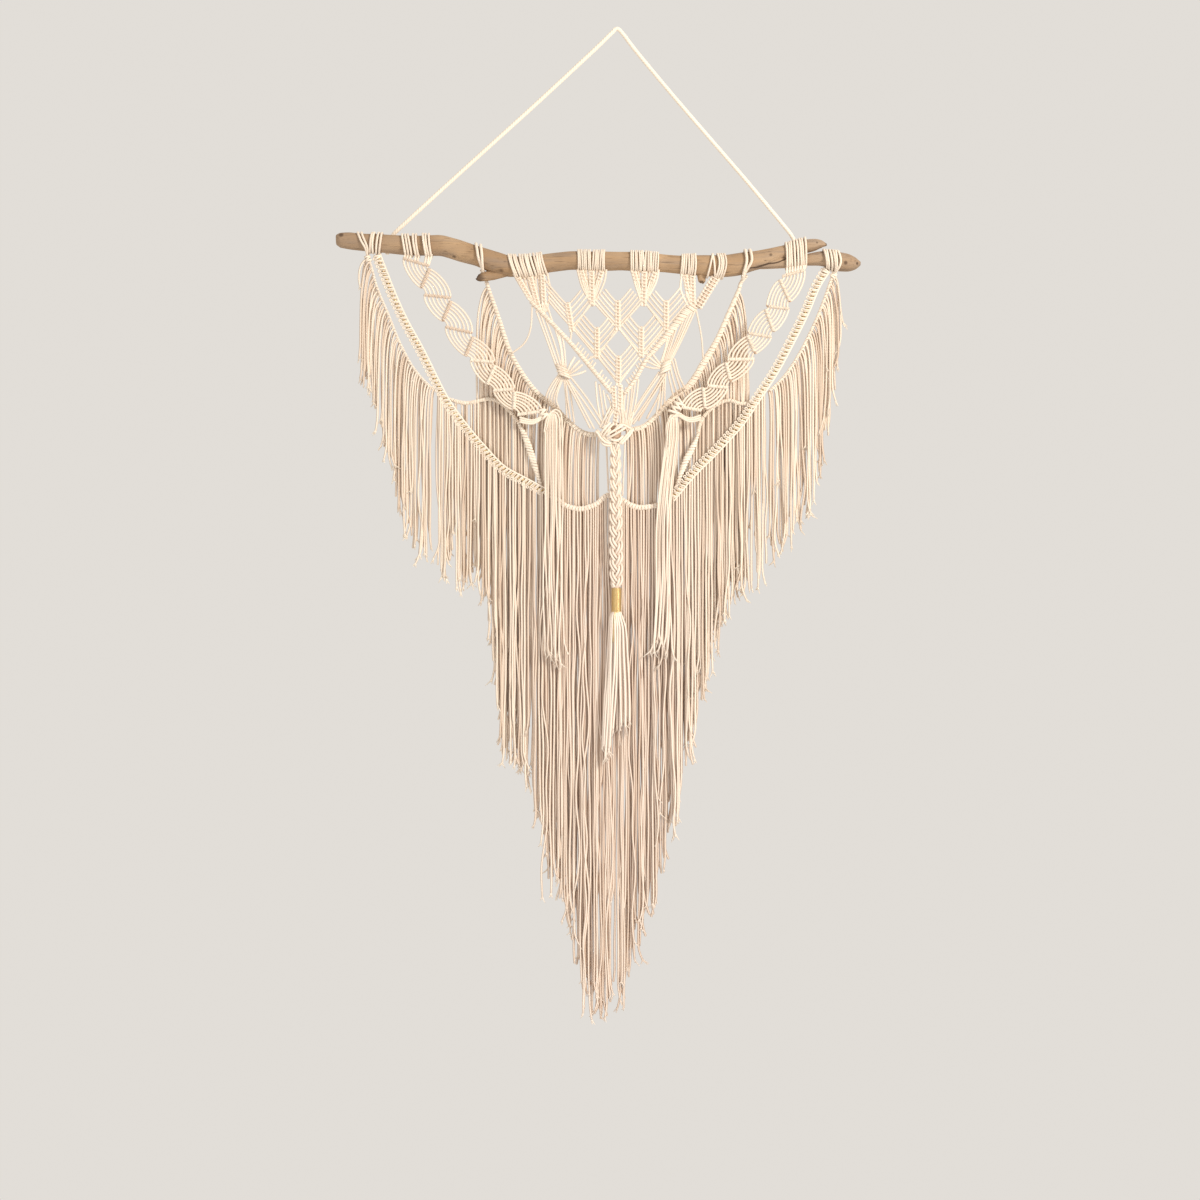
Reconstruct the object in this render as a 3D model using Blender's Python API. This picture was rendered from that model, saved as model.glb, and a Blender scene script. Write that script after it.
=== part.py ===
# A cream cotton macrame wall hanging on a forked driftwood stick.
# The origin is the point where the hanging cord rests on the wall hook. +Z is up and the front faces -Y.
# Every length and place in the tables is in millimetres.

import math

import bmesh
import bpy
import numpy as np

MM = 0.001
SEAT = 0.3              # gap between pieces that rest on each other
CORD_DIAMETER = 6.4     # hanging cord
STRAND = 1.9            # half the thickness of a knotting strand
TAIL_WIDTH = 1.65       # half the width of a fringe tail
TAIL_DEPTH = 1.5        # half the depth of a fringe tail
KEEL = 1.6              # half the depth of a fringed bar's underside
STICK_SIDES = 8
STICK_DEPTH = 0.92      # the stick is a little flatter than it is high
BARK_WAVE = 0.04        # how far the stick's section departs from an oval
LOOP_GAP = 0.65         # heading loops to the stick
LOOP_CREST = 4.2
LOOP_VALLEY = 2.0

# Planes that the layers hang in, by their centre's y, and half the depth of the bars there
PANEL_Y = -8.0
PANEL_DEPTH = 2.6
GARLAND_DEPTH = 3.5
MIDDLE_DEPTH = 2.0
MIDDLE_Y = GARLAND_DEPTH + SEAT + MIDDLE_DEPTH
INNER_DEPTH = 2.4
INNER_Y = MIDDLE_Y + MIDDLE_DEPTH + SEAT + INNER_DEPTH
BRAID_Y = -10.5

# x, centre z, half height
STICK_STATIONS = (
    (-407, -303.5, 4.0), (-402, -304, 9.5), (-387, -304, 12.3), (-373, -306, 12.0), (-344, -308, 12.7),
    (-310, -311, 13.5), (-286, -312, 14.5), (-255, -311, 14.9), (-228, -319, 15.6), (-204, -326, 14.5),
    (-184, -334, 16.6), (-170, -338, 16.6), (-154, -342, 15.2), (-126, -341, 14.5), (-99, -336, 13.8),
    (-67, -332, 13.4), (-20, -333, 13.8), (41, -334, 13.4), (70, -337, 12.2), (91, -339, 12.6),
    (120, -340, 14.5), (154, -342, 16.0), (180, -338, 16.2), (197, -334, 14.0), (216, -330, 13.4),
    (244, -320, 9.9), (274, -312, 10.2), (289, -310, 9.0), (297, -308.5, 5.5), (304, -310, 1.6),
)
PRONG_STATIONS = (
    (196, -339, 5.0), (210, -337, 8.5), (244, -335.5, 8.6), (274, -332, 8.0), (297, -330, 10.8),
    (319, -334, 13.8), (338, -336, 12.3), (347, -337, 7.5), (353, -337, 2.5),
)
# x, z and half thickness at the broken end, then at the root
STUBS = (
    (-203, -358.5, 4.5, -158, -348, 7.5),
    (123, -365, 4.5, 122, -340, 6.5),
)

# x, y, z along the hanging cord, from behind the stick's left end over the hook to behind its right end
CORD_ROUTE = (
    (-335, 16.0, -321), (-333, 16.1, -308), (-327, 15.5, -294), (-305, 13.0, -273), (-233, 9.5, -208),
    (-120, 4.0, -107), (-34, 0.8, -28), (-9, 0.0, -4), (0, 0.0, 3.2), (9, 0.0, -5), (29, 0.6, -31),
    (90, 4.5, -103), (184, 11.0, -210), (243, 16.6, -279), (256, 18.3, -296), (262, 18.3, -310),
    (264, 17.9, -322),
)

# Lower edge of the whole fringe: x, z
FRINGE_HEM = (
    (-380, -470), (-367, -496), (-357, -519), (-326, -639), (-315, -703), (-307, -729), (-291, -753),
    (-261, -773), (-239, -798), (-197, -806), (-184, -860), (-174, -989), (-161, -1060), (-141, -1070),
    (-125, -1121), (-106, -1175), (-99, -1236), (-83, -1252), (-67, -1317), (-52, -1386), (-38, -1431),
    (-19, -1433), (-6, -1400), (10, -1396), (28, -1336), (39, -1300), (55, -1276), (67, -1200),
    (88, -1150), (97, -1080), (109, -1056), (115, -1018), (128, -953), (145, -892), (168, -826),
    (216, -781), (261, -722), (278, -697), (291, -645), (309, -571), (324, -455),
)


# ---------------------------------------------------------------- routes and shells

class Route:
    """A smooth curve through x, y, z points, read by the distance along it."""

    def __init__(self, points, steps=10):
        corners = np.array(points, float)
        ends = np.vstack([2 * corners[0] - corners[1], corners, 2 * corners[-1] - corners[-2]])
        spans = []
        for p0, p1, p2, p3 in zip(ends, ends[1:], ends[2:], ends[3:]):
            t = np.linspace(0, 1, steps, endpoint=False)[:, None]
            curve = 2 * p1 + (p2 - p0) * t + (2 * p0 - 5 * p1 + 4 * p2 - p3) * t ** 2
            spans.append(0.5 * (curve + (3 * p1 - p0 - 3 * p2 + p3) * t ** 3))
        self.points = np.vstack(spans + [corners[-1:]])
        runs = np.linalg.norm(np.diff(self.points, axis=0), axis=1)
        self.distance = np.concatenate([[0], np.cumsum(runs)])
        self.length = self.distance[-1]

    def at(self, s):
        return np.array([np.interp(s, self.distance, self.points[:, axis]) for axis in range(3)])

    def tangent(self, s, reach=1.5):
        along = self.at(min(s + reach, self.length)) - self.at(max(s - reach, 0))
        return along / np.linalg.norm(along)

    def where_x(self, x):
        """The distance at which a route that keeps to one direction in x reaches this x."""
        order = np.argsort(self.points[:, 0])
        return float(np.interp(x, self.points[order, 0], self.distance[order]))


class Shell:
    """Rings of corners joined by quads into closed surfaces."""

    def __init__(self):
        self.corners = []
        self.faces = []

    def ring(self, points):
        first = len(self.corners)
        self.corners.extend(tuple(point) for point in points)
        return list(range(first, len(self.corners)))

    def bridge(self, one, two, leave_open=None):
        for side in range(len(one)):
            if side != leave_open:
                after = (side + 1) % len(one)
                self.faces.append((one[side], one[after], two[after], two[side]))

    def cap(self, ring):
        self.faces.append(tuple(ring))

    def loft(self, rings):
        """A closed tube through the rings, capped at both ends."""
        made = [self.ring(points) for points in rings]
        for one, two in zip(made, made[1:]):
            self.bridge(one, two)
        self.cap(made[0])
        self.cap(made[-1])


def bar_corners(route, s, half_height, half_depth, keel):
    """Four corners round a bar: upper front, upper back, lower back, lower front.

    keel is half the depth of its underside, where tails hang.
    """
    centre, along = route.at(s), route.tangent(s)
    up = np.array([-along[2], 0.0, along[0]])
    up = up / np.linalg.norm(up)
    if up[2] < 0 or (abs(up[2]) < 1e-6 and up[0] < 0):
        up = -up
    back = np.array([0.0, 1.0, 0.0])
    return [
        centre + up * half_height - back * half_depth,
        centre + up * half_height + back * half_depth,
        centre - up * half_height + back * keel,
        centre - up * half_height - back * keel,
    ]


def tail_corners(centre, sign, width=TAIL_WIDTH, depth=TAIL_DEPTH):
    """Four corners of a level cut through a hanging tail, in the order of a bar's underside."""
    x, y, z = centre
    across = sign * width
    return [(x - across, y + depth, z), (x - across, y - depth, z), (x + across, y - depth, z),
            (x + across, y + depth, z)]


def hang_tail(shell, one, two, sign, levels):
    """A tail out of the underside between two of a bar's rings, through the given centres."""
    above = [one[2], one[3], two[3], two[2]]
    for centre in levels:
        below = shell.ring(tail_corners(centre, sign))
        shell.bridge(above, below)
        above = below
    shell.cap(above)


def knotted_bar(shell, route, knots, half_height, half_depth, ridge=0.72, tails=None, keel=None):
    """A bar of knots. Each knot is full at its start and tapers to its end; a tail may hang from it.

    knots holds the start and end distance of each; tails, for each knot, None or its levels' centres.
    """
    tails = tails or [None] * len(knots)
    keel = keel or half_depth
    previous = None
    for (start, end), levels in zip(knots, tails):
        one = shell.ring(bar_corners(route, start, half_height, half_depth, keel))
        thin = half_depth * ridge
        two = shell.ring(bar_corners(route, end, half_height * ridge, thin, min(keel, thin)))
        if previous is None:
            shell.cap(one)
        else:
            shell.bridge(previous, one)
        shell.bridge(one, two, leave_open=2 if levels else None)
        if levels:
            sign = 1 if route.at(end)[0] > route.at(start)[0] else -1
            hang_tail(shell, one, two, sign, levels)
        previous = two
    shell.cap(previous)


def even_knots(start, end, count, share=0.7):
    """The start and end of so many knots, evenly spread from start to end."""
    pitch = (end - start) / (count - 1 + share)
    return [(start + i * pitch, start + (i + share) * pitch) for i in range(count)]


def strand(shell, points, half=STRAND, depth=None):
    """A four-sided strand along straight runs between x, y, z points, mitred where it turns."""
    depth = depth or half
    points = np.array(points, float)
    runs = np.diff(points, axis=0)
    runs /= np.linalg.norm(runs, axis=1)[:, None]
    rings = []
    for i, point in enumerate(points):
        before, after = runs[max(i - 1, 0)], runs[min(i, len(runs) - 1)]
        along = before + after
        along /= np.linalg.norm(along)
        side = np.cross(along, (0.0, 1.0, 0.0))
        side /= np.linalg.norm(side)
        front = np.cross(side, along)
        wide = half / max(math.sqrt((1 + before @ after) / 2), 0.5)
        rings.append([point + side * wide + front * depth, point + side * wide - front * depth,
                      point - side * wide - front * depth, point - side * wide + front * depth])
    shell.loft(rings)


def hem_at(x, lift=0.0, key=0):
    """Where a tail at this x ends: the hem's height, with a small uneven step from tail to tail."""
    table = np.array(FRINGE_HEM, float)
    return float(np.interp(x, table[:, 0], table[:, 1])) + lift + 9.0 * math.sin(2.4 * key + 0.13 * x)


# ---------------------------------------------------------------- objects

def material(name, colour, roughness, metallic=0.0):
    made = bpy.data.materials.new(name)
    made.use_nodes = True
    shader = made.node_tree.nodes["Principled BSDF"]
    shader.inputs["Base Color"].default_value = (*colour, 1.0)
    shader.inputs["Roughness"].default_value = roughness
    shader.inputs["Metallic"].default_value = metallic
    return made


def make_object(name, shell, finish, smooth_angle=None):
    mesh = bpy.data.meshes.new(name)
    mesh.from_pydata([tuple(MM * value for value in corner) for corner in shell.corners], [], shell.faces)
    worked = bmesh.new()
    worked.from_mesh(mesh)
    bmesh.ops.recalc_face_normals(worked, faces=worked.faces)
    bmesh.ops.triangulate(worked, faces=worked.faces)
    worked.to_mesh(mesh)
    worked.free()
    if smooth_angle:
        mesh.shade_smooth()
        mesh.set_sharp_from_angle(angle=math.radians(smooth_angle))
    mesh.materials.append(finish)
    made = bpy.data.objects.new(name, mesh)
    bpy.context.scene.collection.objects.link(made)
    return made


def fuse(name, shells, finish, smooth_angle=None):
    """One body from shells that overlap: a Boolean union of all but the last with the last."""
    body = Shell()
    for shell in shells[:-1]:
        first = len(body.corners)
        body.corners.extend(shell.corners)
        body.faces.extend(tuple(first + i for i in face) for face in shell.faces)
    made = make_object(name, body, finish, smooth_angle)
    last = make_object(name + "_root", shells[-1], finish)
    last.hide_render = True
    last.display_type = "WIRE"
    union = made.modifiers.new("Union", "BOOLEAN")
    union.operation = "UNION"
    union.solver = "EXACT"
    union.use_self = True
    union.object = last
    return made


# ---------------------------------------------------------------- stick

def section_ring(x, centre_z, half_height):
    """The stick's outline at one station: an oval that the grain pulls out of round."""
    ring = []
    for side in range(STICK_SIDES):
        angle = 2 * math.pi * side / STICK_SIDES
        swell = 1 + BARK_WAVE * math.sin(3 * angle + x / 70)
        ring.append((x, STICK_DEPTH * half_height * swell * math.cos(angle),
                     centre_z + half_height * swell * math.sin(angle)))
    return np.array(ring)


def ring_between(stations, x):
    """The outline at any x, straight between the stations on each side of it, and its centre."""
    rings = np.array([section_ring(*station) for station in stations])
    places = np.array([station[0] for station in stations], float)
    ring = np.array([[np.interp(x, places, rings[:, side, axis]) for axis in range(3)]
                     for side in range(STICK_SIDES)])
    return ring, np.array([x, 0.0, np.interp(x, places, [station[1] for station in stations])])


def stick_ring(x):
    return ring_between(STICK_STATIONS, x)


def prong_ring(x):
    return ring_between(PRONG_STATIONS, x)


def fork_ring(x):
    """An outline round both prongs of the fork, a little larger than their hull."""
    upper, _ = stick_ring(x)
    lower, _ = prong_ring(x)
    both = np.vstack([upper, lower])
    centre = np.array([x, 0.0, (both[:, 2].max() + both[:, 2].min()) / 2])
    ring = []
    for side in range(STICK_SIDES):
        angle = 2 * math.pi * side / STICK_SIDES
        way = np.array([0.0, math.cos(angle), math.sin(angle)])
        reach = ((both - centre) @ way).max() / math.cos(math.pi / STICK_SIDES)
        ring.append(centre + way * (reach + SEAT))
    return np.array(ring), centre


def build_stick(wood):
    trunk, prong = Shell(), Shell()
    trunk.loft([section_ring(*station) for station in STICK_STATIONS])
    prong.loft([section_ring(*station) for station in PRONG_STATIONS])
    shells = [trunk]
    for end_x, end_z, end_half, root_x, root_z, root_half in STUBS:
        stub = Shell()
        steep = abs(root_z - end_z) > abs(root_x - end_x)
        rings = []
        for share in (0.0, 0.25, 1.0):
            half = end_half + (root_half - end_half) * min(1.0, 2 * share)
            half *= 0.7 if share == 0 else 1.0
            middle = np.array([end_x + (root_x - end_x) * share, 0, end_z + (root_z - end_z) * share])
            ring = []
            for side in range(8):
                angle = 2 * math.pi * (side + 0.5) / 8
                wide, deep = half * math.cos(angle), 0.85 * half * math.sin(angle)
                ring.append(middle + (np.array([wide, deep, 0]) if steep else np.array([0, deep, wide])))
            rings.append(ring)
        stub.loft(rings)
        shells.append(stub)
    return fuse("driftwood_stick", shells + [prong], wood, 40)


def heading(ring_at, left, right, ridges, stations=(), lean=0.0):
    """A sleeve of heading loops round the stick, one ridge for each loop."""
    sleeve = Shell()
    outer = []
    for i in range(2 * ridges + 1):
        outer.append((left + (right - left) * i / (2 * ridges), LOOP_CREST if i % 2 else LOOP_VALLEY))
    inside = [station[0] for station in stations if left + 2 < station[0] < right - 2]
    profile = outer + [(x, LOOP_GAP) for x in [right] + inside[::-1] + [left]]
    rings = []
    for side in range(STICK_SIDES):
        slide = -lean * math.sin(2 * math.pi * side / STICK_SIDES)
        points = []
        for x, height in profile:
            ring, centre = ring_at(x + slide)
            out = ring[side] - centre
            points.append(ring[side] + out / np.linalg.norm(out) * height)
        rings.append(sleeve.ring(points))
    for side in range(STICK_SIDES):
        sleeve.bridge(rings[side], rings[(side + 1) % STICK_SIDES])
    return sleeve


def stick_heading(left, right, ridges, lean=0.0):
    return heading(stick_ring, left, right, ridges, STICK_STATIONS, lean)


def under_heading(ring_at, x, depth):
    """The height at this distance below the stick's lowest line."""
    ring, _ = ring_at(x)
    return ring[:, 2].min() - depth


# ---------------------------------------------------------------- hanging cord

def build_hanging_cord(cotton):
    route = Route(CORD_ROUTE)
    count = int(route.length / (3.0 * CORD_DIAMETER)) + 1
    curve = bpy.data.curves.new("hanging_cord", "CURVE")
    curve.dimensions = "3D"
    curve.bevel_depth = CORD_DIAMETER / 2 * MM
    curve.bevel_resolution = 2
    curve.use_fill_caps = True
    line = curve.splines.new("POLY")
    line.points.add(count - 1)
    for i in range(count):
        point = route.at(route.length * i / (count - 1)) * MM
        line.points[i].co = (*point, 1.0)
    curve.materials.append(cotton)
    made = bpy.data.objects.new("hanging_cord", curve)
    bpy.context.scene.collection.objects.link(made)


# ---------------------------------------------------------------- fringed bars

def fringe_levels(route, knot, number, count, spread, drop, lift, plane=None):
    """Centres of the level cuts of one tail.

    A tail springs out sideways by a share of spread that is largest at the bar's first knot, then hangs.
    """
    middle = route.at((knot[0] + knot[1]) / 2)
    share = 1 - number / max(count - 1, 1)
    x = middle[0] + spread * (0.25 + 0.75 * share)
    y = middle[1] if plane is None else plane
    hem = hem_at(x, lift, number)
    if not spread:
        return [(x, y, hem)]
    return [(x - 0.3 * spread * share, y, middle[2] - drop), (x, y, hem)]


def build_outer_fringe(name, points, loop, spread, count, cotton):
    """The bar outside a garland, whose tails spring away from the centre."""
    route = Route(points)
    start = 12.0
    knots = even_knots(start, route.length, count)
    tails = [fringe_levels(route, knot, i, count, spread, 20.0, 0.0) for i, knot in enumerate(knots)]
    bar = Shell()
    knotted_bar(bar, route, [(0.0, 7.0)] + knots, 3.1, 2.9, tails=[None] + tails, keel=KEEL)
    return fuse(name, [bar, loop], cotton)


def build_garland(name, points, loop, lace_knots, first_tail_x, count, cotton):
    """The lace-like knotted line with fringe on its lower stretch."""
    route = Route(points)
    turn = route.where_x(first_tail_x)
    lace = even_knots(0.0, turn, lace_knots, 0.6)
    knots = even_knots(turn, route.length, count, 0.68)
    tails = [fringe_levels(route, knot, i, count, 0.0, 0.0, 0.0) for i, knot in enumerate(knots)]
    bar = Shell()
    knotted_bar(bar, route, lace + knots, 5.6, GARLAND_DEPTH, 0.66, [None] * lace_knots + tails, KEEL)
    return fuse(name, [bar, loop], cotton)


def build_inner_swag(name, points, loop, start, spread, count, cotton):
    """A V-shaped swag behind the panels, whose tails hang behind everything else."""
    route = Route(points)
    plain = even_knots(0.0, start, 2)
    knots = even_knots(start, route.length - 12.0, count)
    tails = []
    for i, knot in enumerate(knots):
        levels = fringe_levels(route, knot, i, count, spread, 16.0, 34.0)
        tails.append(levels if i < count // 4 else levels[1:])
    end = [(route.length - 10.0, route.length)]
    bar = Shell()
    tails = [None, None] + tails + [None]
    knotted_bar(bar, route, plain + knots + end, 3.2, INNER_DEPTH, tails=tails, keel=KEEL)
    return fuse(name, [bar, loop], cotton)


def build_middle_swag(name, points, fringe_end_x, count, wrap_knots, cotton):
    """A small swag with fringe that goes on as a thick wrapped bar."""
    route = Route(points)
    turn = route.where_x(fringe_end_x)
    knots = even_knots(0.0, turn, count)
    wraps = even_knots(turn, route.length, wrap_knots, 0.75)
    tails = [fringe_levels(route, knot, i, count, 0.0, 0.0, 22.0) for i, knot in enumerate(knots)]
    bar = Shell()
    knotted_bar(bar, route, knots, 2.8, MIDDLE_DEPTH, tails=tails, keel=KEEL)
    wrapped = Shell()
    knotted_bar(wrapped, route, [(turn - 4.0, turn - 1.0)] + wraps, 4.6, MIDDLE_DEPTH * 0.97, 0.75)
    return fuse(name, [bar, wrapped], cotton)


def build_bottom_swag(points, count, cotton):
    """The double swag between the garlands' ends, with the longest tails."""
    route = Route(points)
    knots = even_knots(0.0, route.length, count)
    tails = [fringe_levels(route, knot, i, count, 0.0, 0.0, 0.0) for i, knot in enumerate(knots)]
    bar = Shell()
    knotted_bar(bar, route, knots, 3.4, 2.9, tails=tails, keel=KEEL)
    return make_object("bottom_swag", bar, cotton)


# ---------------------------------------------------------------- zigzag bands

ARCS = 3                # strands in each bow between two lines of the zigzag
ARC_STEPS = 2


def arc_strand(shell, pivot, one, two, share, y):
    """A strand bowed round a corner of the zigzag, from one of its lines to the other."""
    first, second = np.array(one) - pivot, np.array(two) - pivot
    start, end = math.atan2(first[1], first[0]), math.atan2(second[1], second[0])
    turn = (end - start + math.pi) % (2 * math.pi) - math.pi
    points = []
    for step in range(ARC_STEPS + 1):
        t = step / ARC_STEPS
        reach = share * (np.linalg.norm(first) * (1 - t) + np.linalg.norm(second) * t)
        reach *= 1 - 0.10 * math.sin(math.pi * t)
        angle = start + turn * t
        points.append((pivot[0] + reach * math.cos(angle), y, pivot[1] + reach * math.sin(angle)))
    strand(shell, points, STRAND, STRAND * 0.9)


def build_zigzag_band(name, corners, ring_at, loops, drops, head, tassel_hem, cotton):
    """A band of bowed strands between the lines of a zigzag, which ends in a side tassel.

    corners holds the zigzag's x, z; drops the x of the strands that come down from the heading;
    head the tassel's x at both sides, its z, and the number of its tails.
    """
    shells = list(loops)
    corners = [np.array(corner, float) for corner in corners]
    for i in range(1, len(corners) - 1):
        y = PANEL_Y + 0.15 * (i % 2)
        for number in range(1, ARCS + 1):
            bow = Shell()
            arc_strand(bow, corners[i], corners[i - 1], corners[i + 1], number / ARCS, y)
            shells.append(bow)
    line = Shell()
    strand(line, [(x, PANEL_Y, z) for x, z in corners], 2.5, PANEL_DEPTH)
    shells.append(line)
    first, second = corners[0], corners[1]
    for x in drops:
        t = (x - first[0]) / (second[0] - first[0])
        drop = Shell()
        target = first + (second - first) * min(max(t, 0.04), 0.96)
        top = (x, -1.0, under_heading(ring_at, x, 2.4))
        strand(drop, [top, (target[0], PANEL_Y, target[1] + 0.5)], STRAND)
        shells.append(drop)
    left, right, z, count = head
    top = Route([(left, -1.6, z - 3), ((left + right) / 2, -1.6, z + 1), (right, -1.6, z - 3)])
    knots = even_knots(0.0, top.length, count, 0.72)
    tails = []
    for i, knot in enumerate(knots):
        middle = top.at((knot[0] + knot[1]) / 2)
        pull = 0.12 * (middle[0] - (left + right) / 2)
        hem = tassel_hem + 7.0 * math.sin(2.1 * i)
        tails.append([(middle[0], PANEL_Y, z - 26), (middle[0] - pull, PANEL_Y, hem)])
    tassel = Shell()
    knotted_bar(tassel, top, knots, 6.0, INNER_Y - INNER_DEPTH - SEAT + 1.6, 0.94, tails)
    return fuse(name, shells + [tassel], cotton)


# ---------------------------------------------------------------- diamond panel

# Square-knot sinnets: top x, z, bottom x, z
SINNETS = (
    (-72, -397, -65, -435), (1, -394, 1, -433), (71, -394, 71, -435),
    (-29, -433, -29, -474), (35, -432, 35, -473),
    (2, -474, 2, -513),
)
# Lines that carry the slanting strands on each side of a sinnet: x, z at both ends, left then right
CARRIERS = (
    ((-100, -385, -92, -432), (-52, -378, -36, -394)),
    ((-20, -378, -36, -394), (23, -378, 38, -394)),
    ((55, -378, 38, -394), (98, -385, 108, -402)),
    ((-36, -394, -65, -435), (-36, -394, 1, -433)),
    ((38, -394, 1, -433), (38, -394, 71, -435)),
    ((1, -433, -29, -474), (1, -433, 35, -473)),
)
FISHBONES = 3           # slanting strands on each side of a sinnet
FISHBONE_SLOPE = 1.15
# Single strands of the panel: x, z at each end
PANEL_STRANDS = (
    (-36, -392, -65, -435), (-36, -392, 1, -433), (38, -392, 1, -433), (38, -392, 71, -435),
    (-65, -431, -29, -474), (1, -430, -29, -474), (1, -430, 35, -473), (71, -431, 35, -473),
    (-29, -470, 2, -513), (35, -469, 2, -513), (-65, -431, -68, -452), (71, -431, 73, -440),
    (-29, -470, -45, -480), (35, -469, 48, -469), (-106, -384, -92, -428), (102, -388, 108, -402),
)
# Knotted columns under the four headings: x at the heading, x and z at the foot, half width, knots
TAPERS = (
    (-148, -122, -397, 4.2, 3), (-128, -108, -410, 4.4, 3), (-105, -103, -412, 4.2, 3),
    (-53, -38, -391, 3.8, 2), (-36, -36, -397, 4.4, 3), (-21, -34, -391, 3.8, 2),
    (24, 36, -391, 3.8, 2), (40, 38, -397, 4.4, 3), (55, 41, -391, 3.8, 2),
    (97, 105, -398, 3.8, 2), (109, 110, -404, 4.4, 3), (138, 113, -400, 4.0, 2),
)
LEFT_EDGE = ((-124, -394), (-99, -420), (-67, -454), (-38, -489), (-7, -526))
RIGHT_EDGE = ((111, -400), (96, -412), (78, -435), (64, -452), (42, -478), (27, -505), (9, -529))
WEAVE = (1.5, -508, 1.5, -572, 11.5, 5)
# Gathering knots: x, z, half size
GATHERS = ((-77, -497, 6.0), (68, -492, 6.5))
# Strands in and out of the gathering knots: x, y, z at each end
GATHER_STRANDS = (
    (-114, PANEL_Y, -409, -79, PANEL_Y, -494), (-98, PANEL_Y, -422, -77, PANEL_Y, -494),
    (-84, PANEL_Y, -437, -76, PANEL_Y, -494), (-76, PANEL_Y, -500, -92, -1.0, -535.5),
    (-78, PANEL_Y, -500, -82, -1.0, -536.5), (-75, PANEL_Y, -500, -71, 5.6, -559),
    (-74, PANEL_Y, -499, -16, PANEL_Y, -577), (-76, PANEL_Y, -502, -18, PANEL_Y, -588),
    (106, PANEL_Y, -410, 72, PANEL_Y, -489), (92, PANEL_Y, -420, 70, PANEL_Y, -489),
    (80, PANEL_Y, -436, 69, PANEL_Y, -489), (66, PANEL_Y, -496, 10, PANEL_Y, -572),
    (67, PANEL_Y, -498, 12, PANEL_Y, -584), (69, PANEL_Y, -495, 57, 5.6, -552),
    (70, PANEL_Y, -495, 80, 5.6, -524),
)
# Lone strands from the panel's sides to the inner swags, then from the centre knot to the bottom swag
LONE_STRANDS = (
    ((-123, PANEL_Y, -400), (-125, -5.0, -431), (-134, 1.0, -452), (-153, 5.6, -467)),
    ((113, PANEL_Y, -399), (122, -2.0, -442), (125, 5.6, -474)),
    ((-16, -1.0, -586), (-12.5, 0.0, -667.5)),
    ((12, -1.0, -586), (8, 0.0, -674)),
)
CENTRE_KNOT = (-2.5, -4.2, -582)     # x, y, z of its middle
KNOT_HALF = (17.0, 12.0, 18.0)       # half its size in x, y and z


def meet(point, slope, line):
    """Where a line up from a point, with the given run in x for each unit of rise, meets a carrier."""
    x1, z1, x2, z2 = line
    px, pz = point
    run, rise = slope
    base = run * (z2 - z1) - rise * (x2 - x1)
    t = ((x1 - px) * (z2 - z1) - (z1 - pz) * (x2 - x1)) / base
    return px + run * t, pz + rise * t


def fishbone(sinnet, carriers, shells):
    """A square-knot sinnet and the parallel strands that slant into both of its sides."""
    x1, z1, x2, z2 = sinnet
    spine = Shell()
    route = Route([(x1, PANEL_Y, z1), ((x1 + x2) / 2, PANEL_Y, (z1 + z2) / 2), (x2, PANEL_Y, z2)])
    knotted_bar(spine, route, even_knots(0.0, route.length, 3, 0.6), 3.9, 3.3, 0.72)
    shells.append(spine)
    for side, line in zip((-1, 1), carriers):
        for i in range(FISHBONES):
            t = (i + 0.35) / FISHBONES
            foot = (x1 + (x2 - x1) * t, z1 + (z2 - z1) * t)
            top = meet(foot, (side, FISHBONE_SLOPE), line)
            bone = Shell()
            y = PANEL_Y + 0.2 * (i - 1)
            strand(bone, [(foot[0], y, foot[1]), (top[0], y, top[1])], STRAND * 0.9, STRAND * 0.85)
            shells.append(bone)


def lump(centre, half, corners=8):
    """A rounded knot, faceted in soft ridges, with a flat top and a flat foot."""
    made = Shell()
    rings = []
    for height, share in ((-1.0, 0.62), (-0.55, 1.0), (0.0, 0.88), (0.5, 1.0), (1.0, 0.55)):
        ring = []
        for corner in range(corners):
            angle = 2 * math.pi * (corner + 0.5) / corners
            ring.append((centre[0] + half[0] * share * math.cos(angle),
                         centre[1] + half[1] * share * math.sin(angle),
                         centre[2] + half[2] * height))
        rings.append(ring)
    made.loft(rings)
    return made


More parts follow.
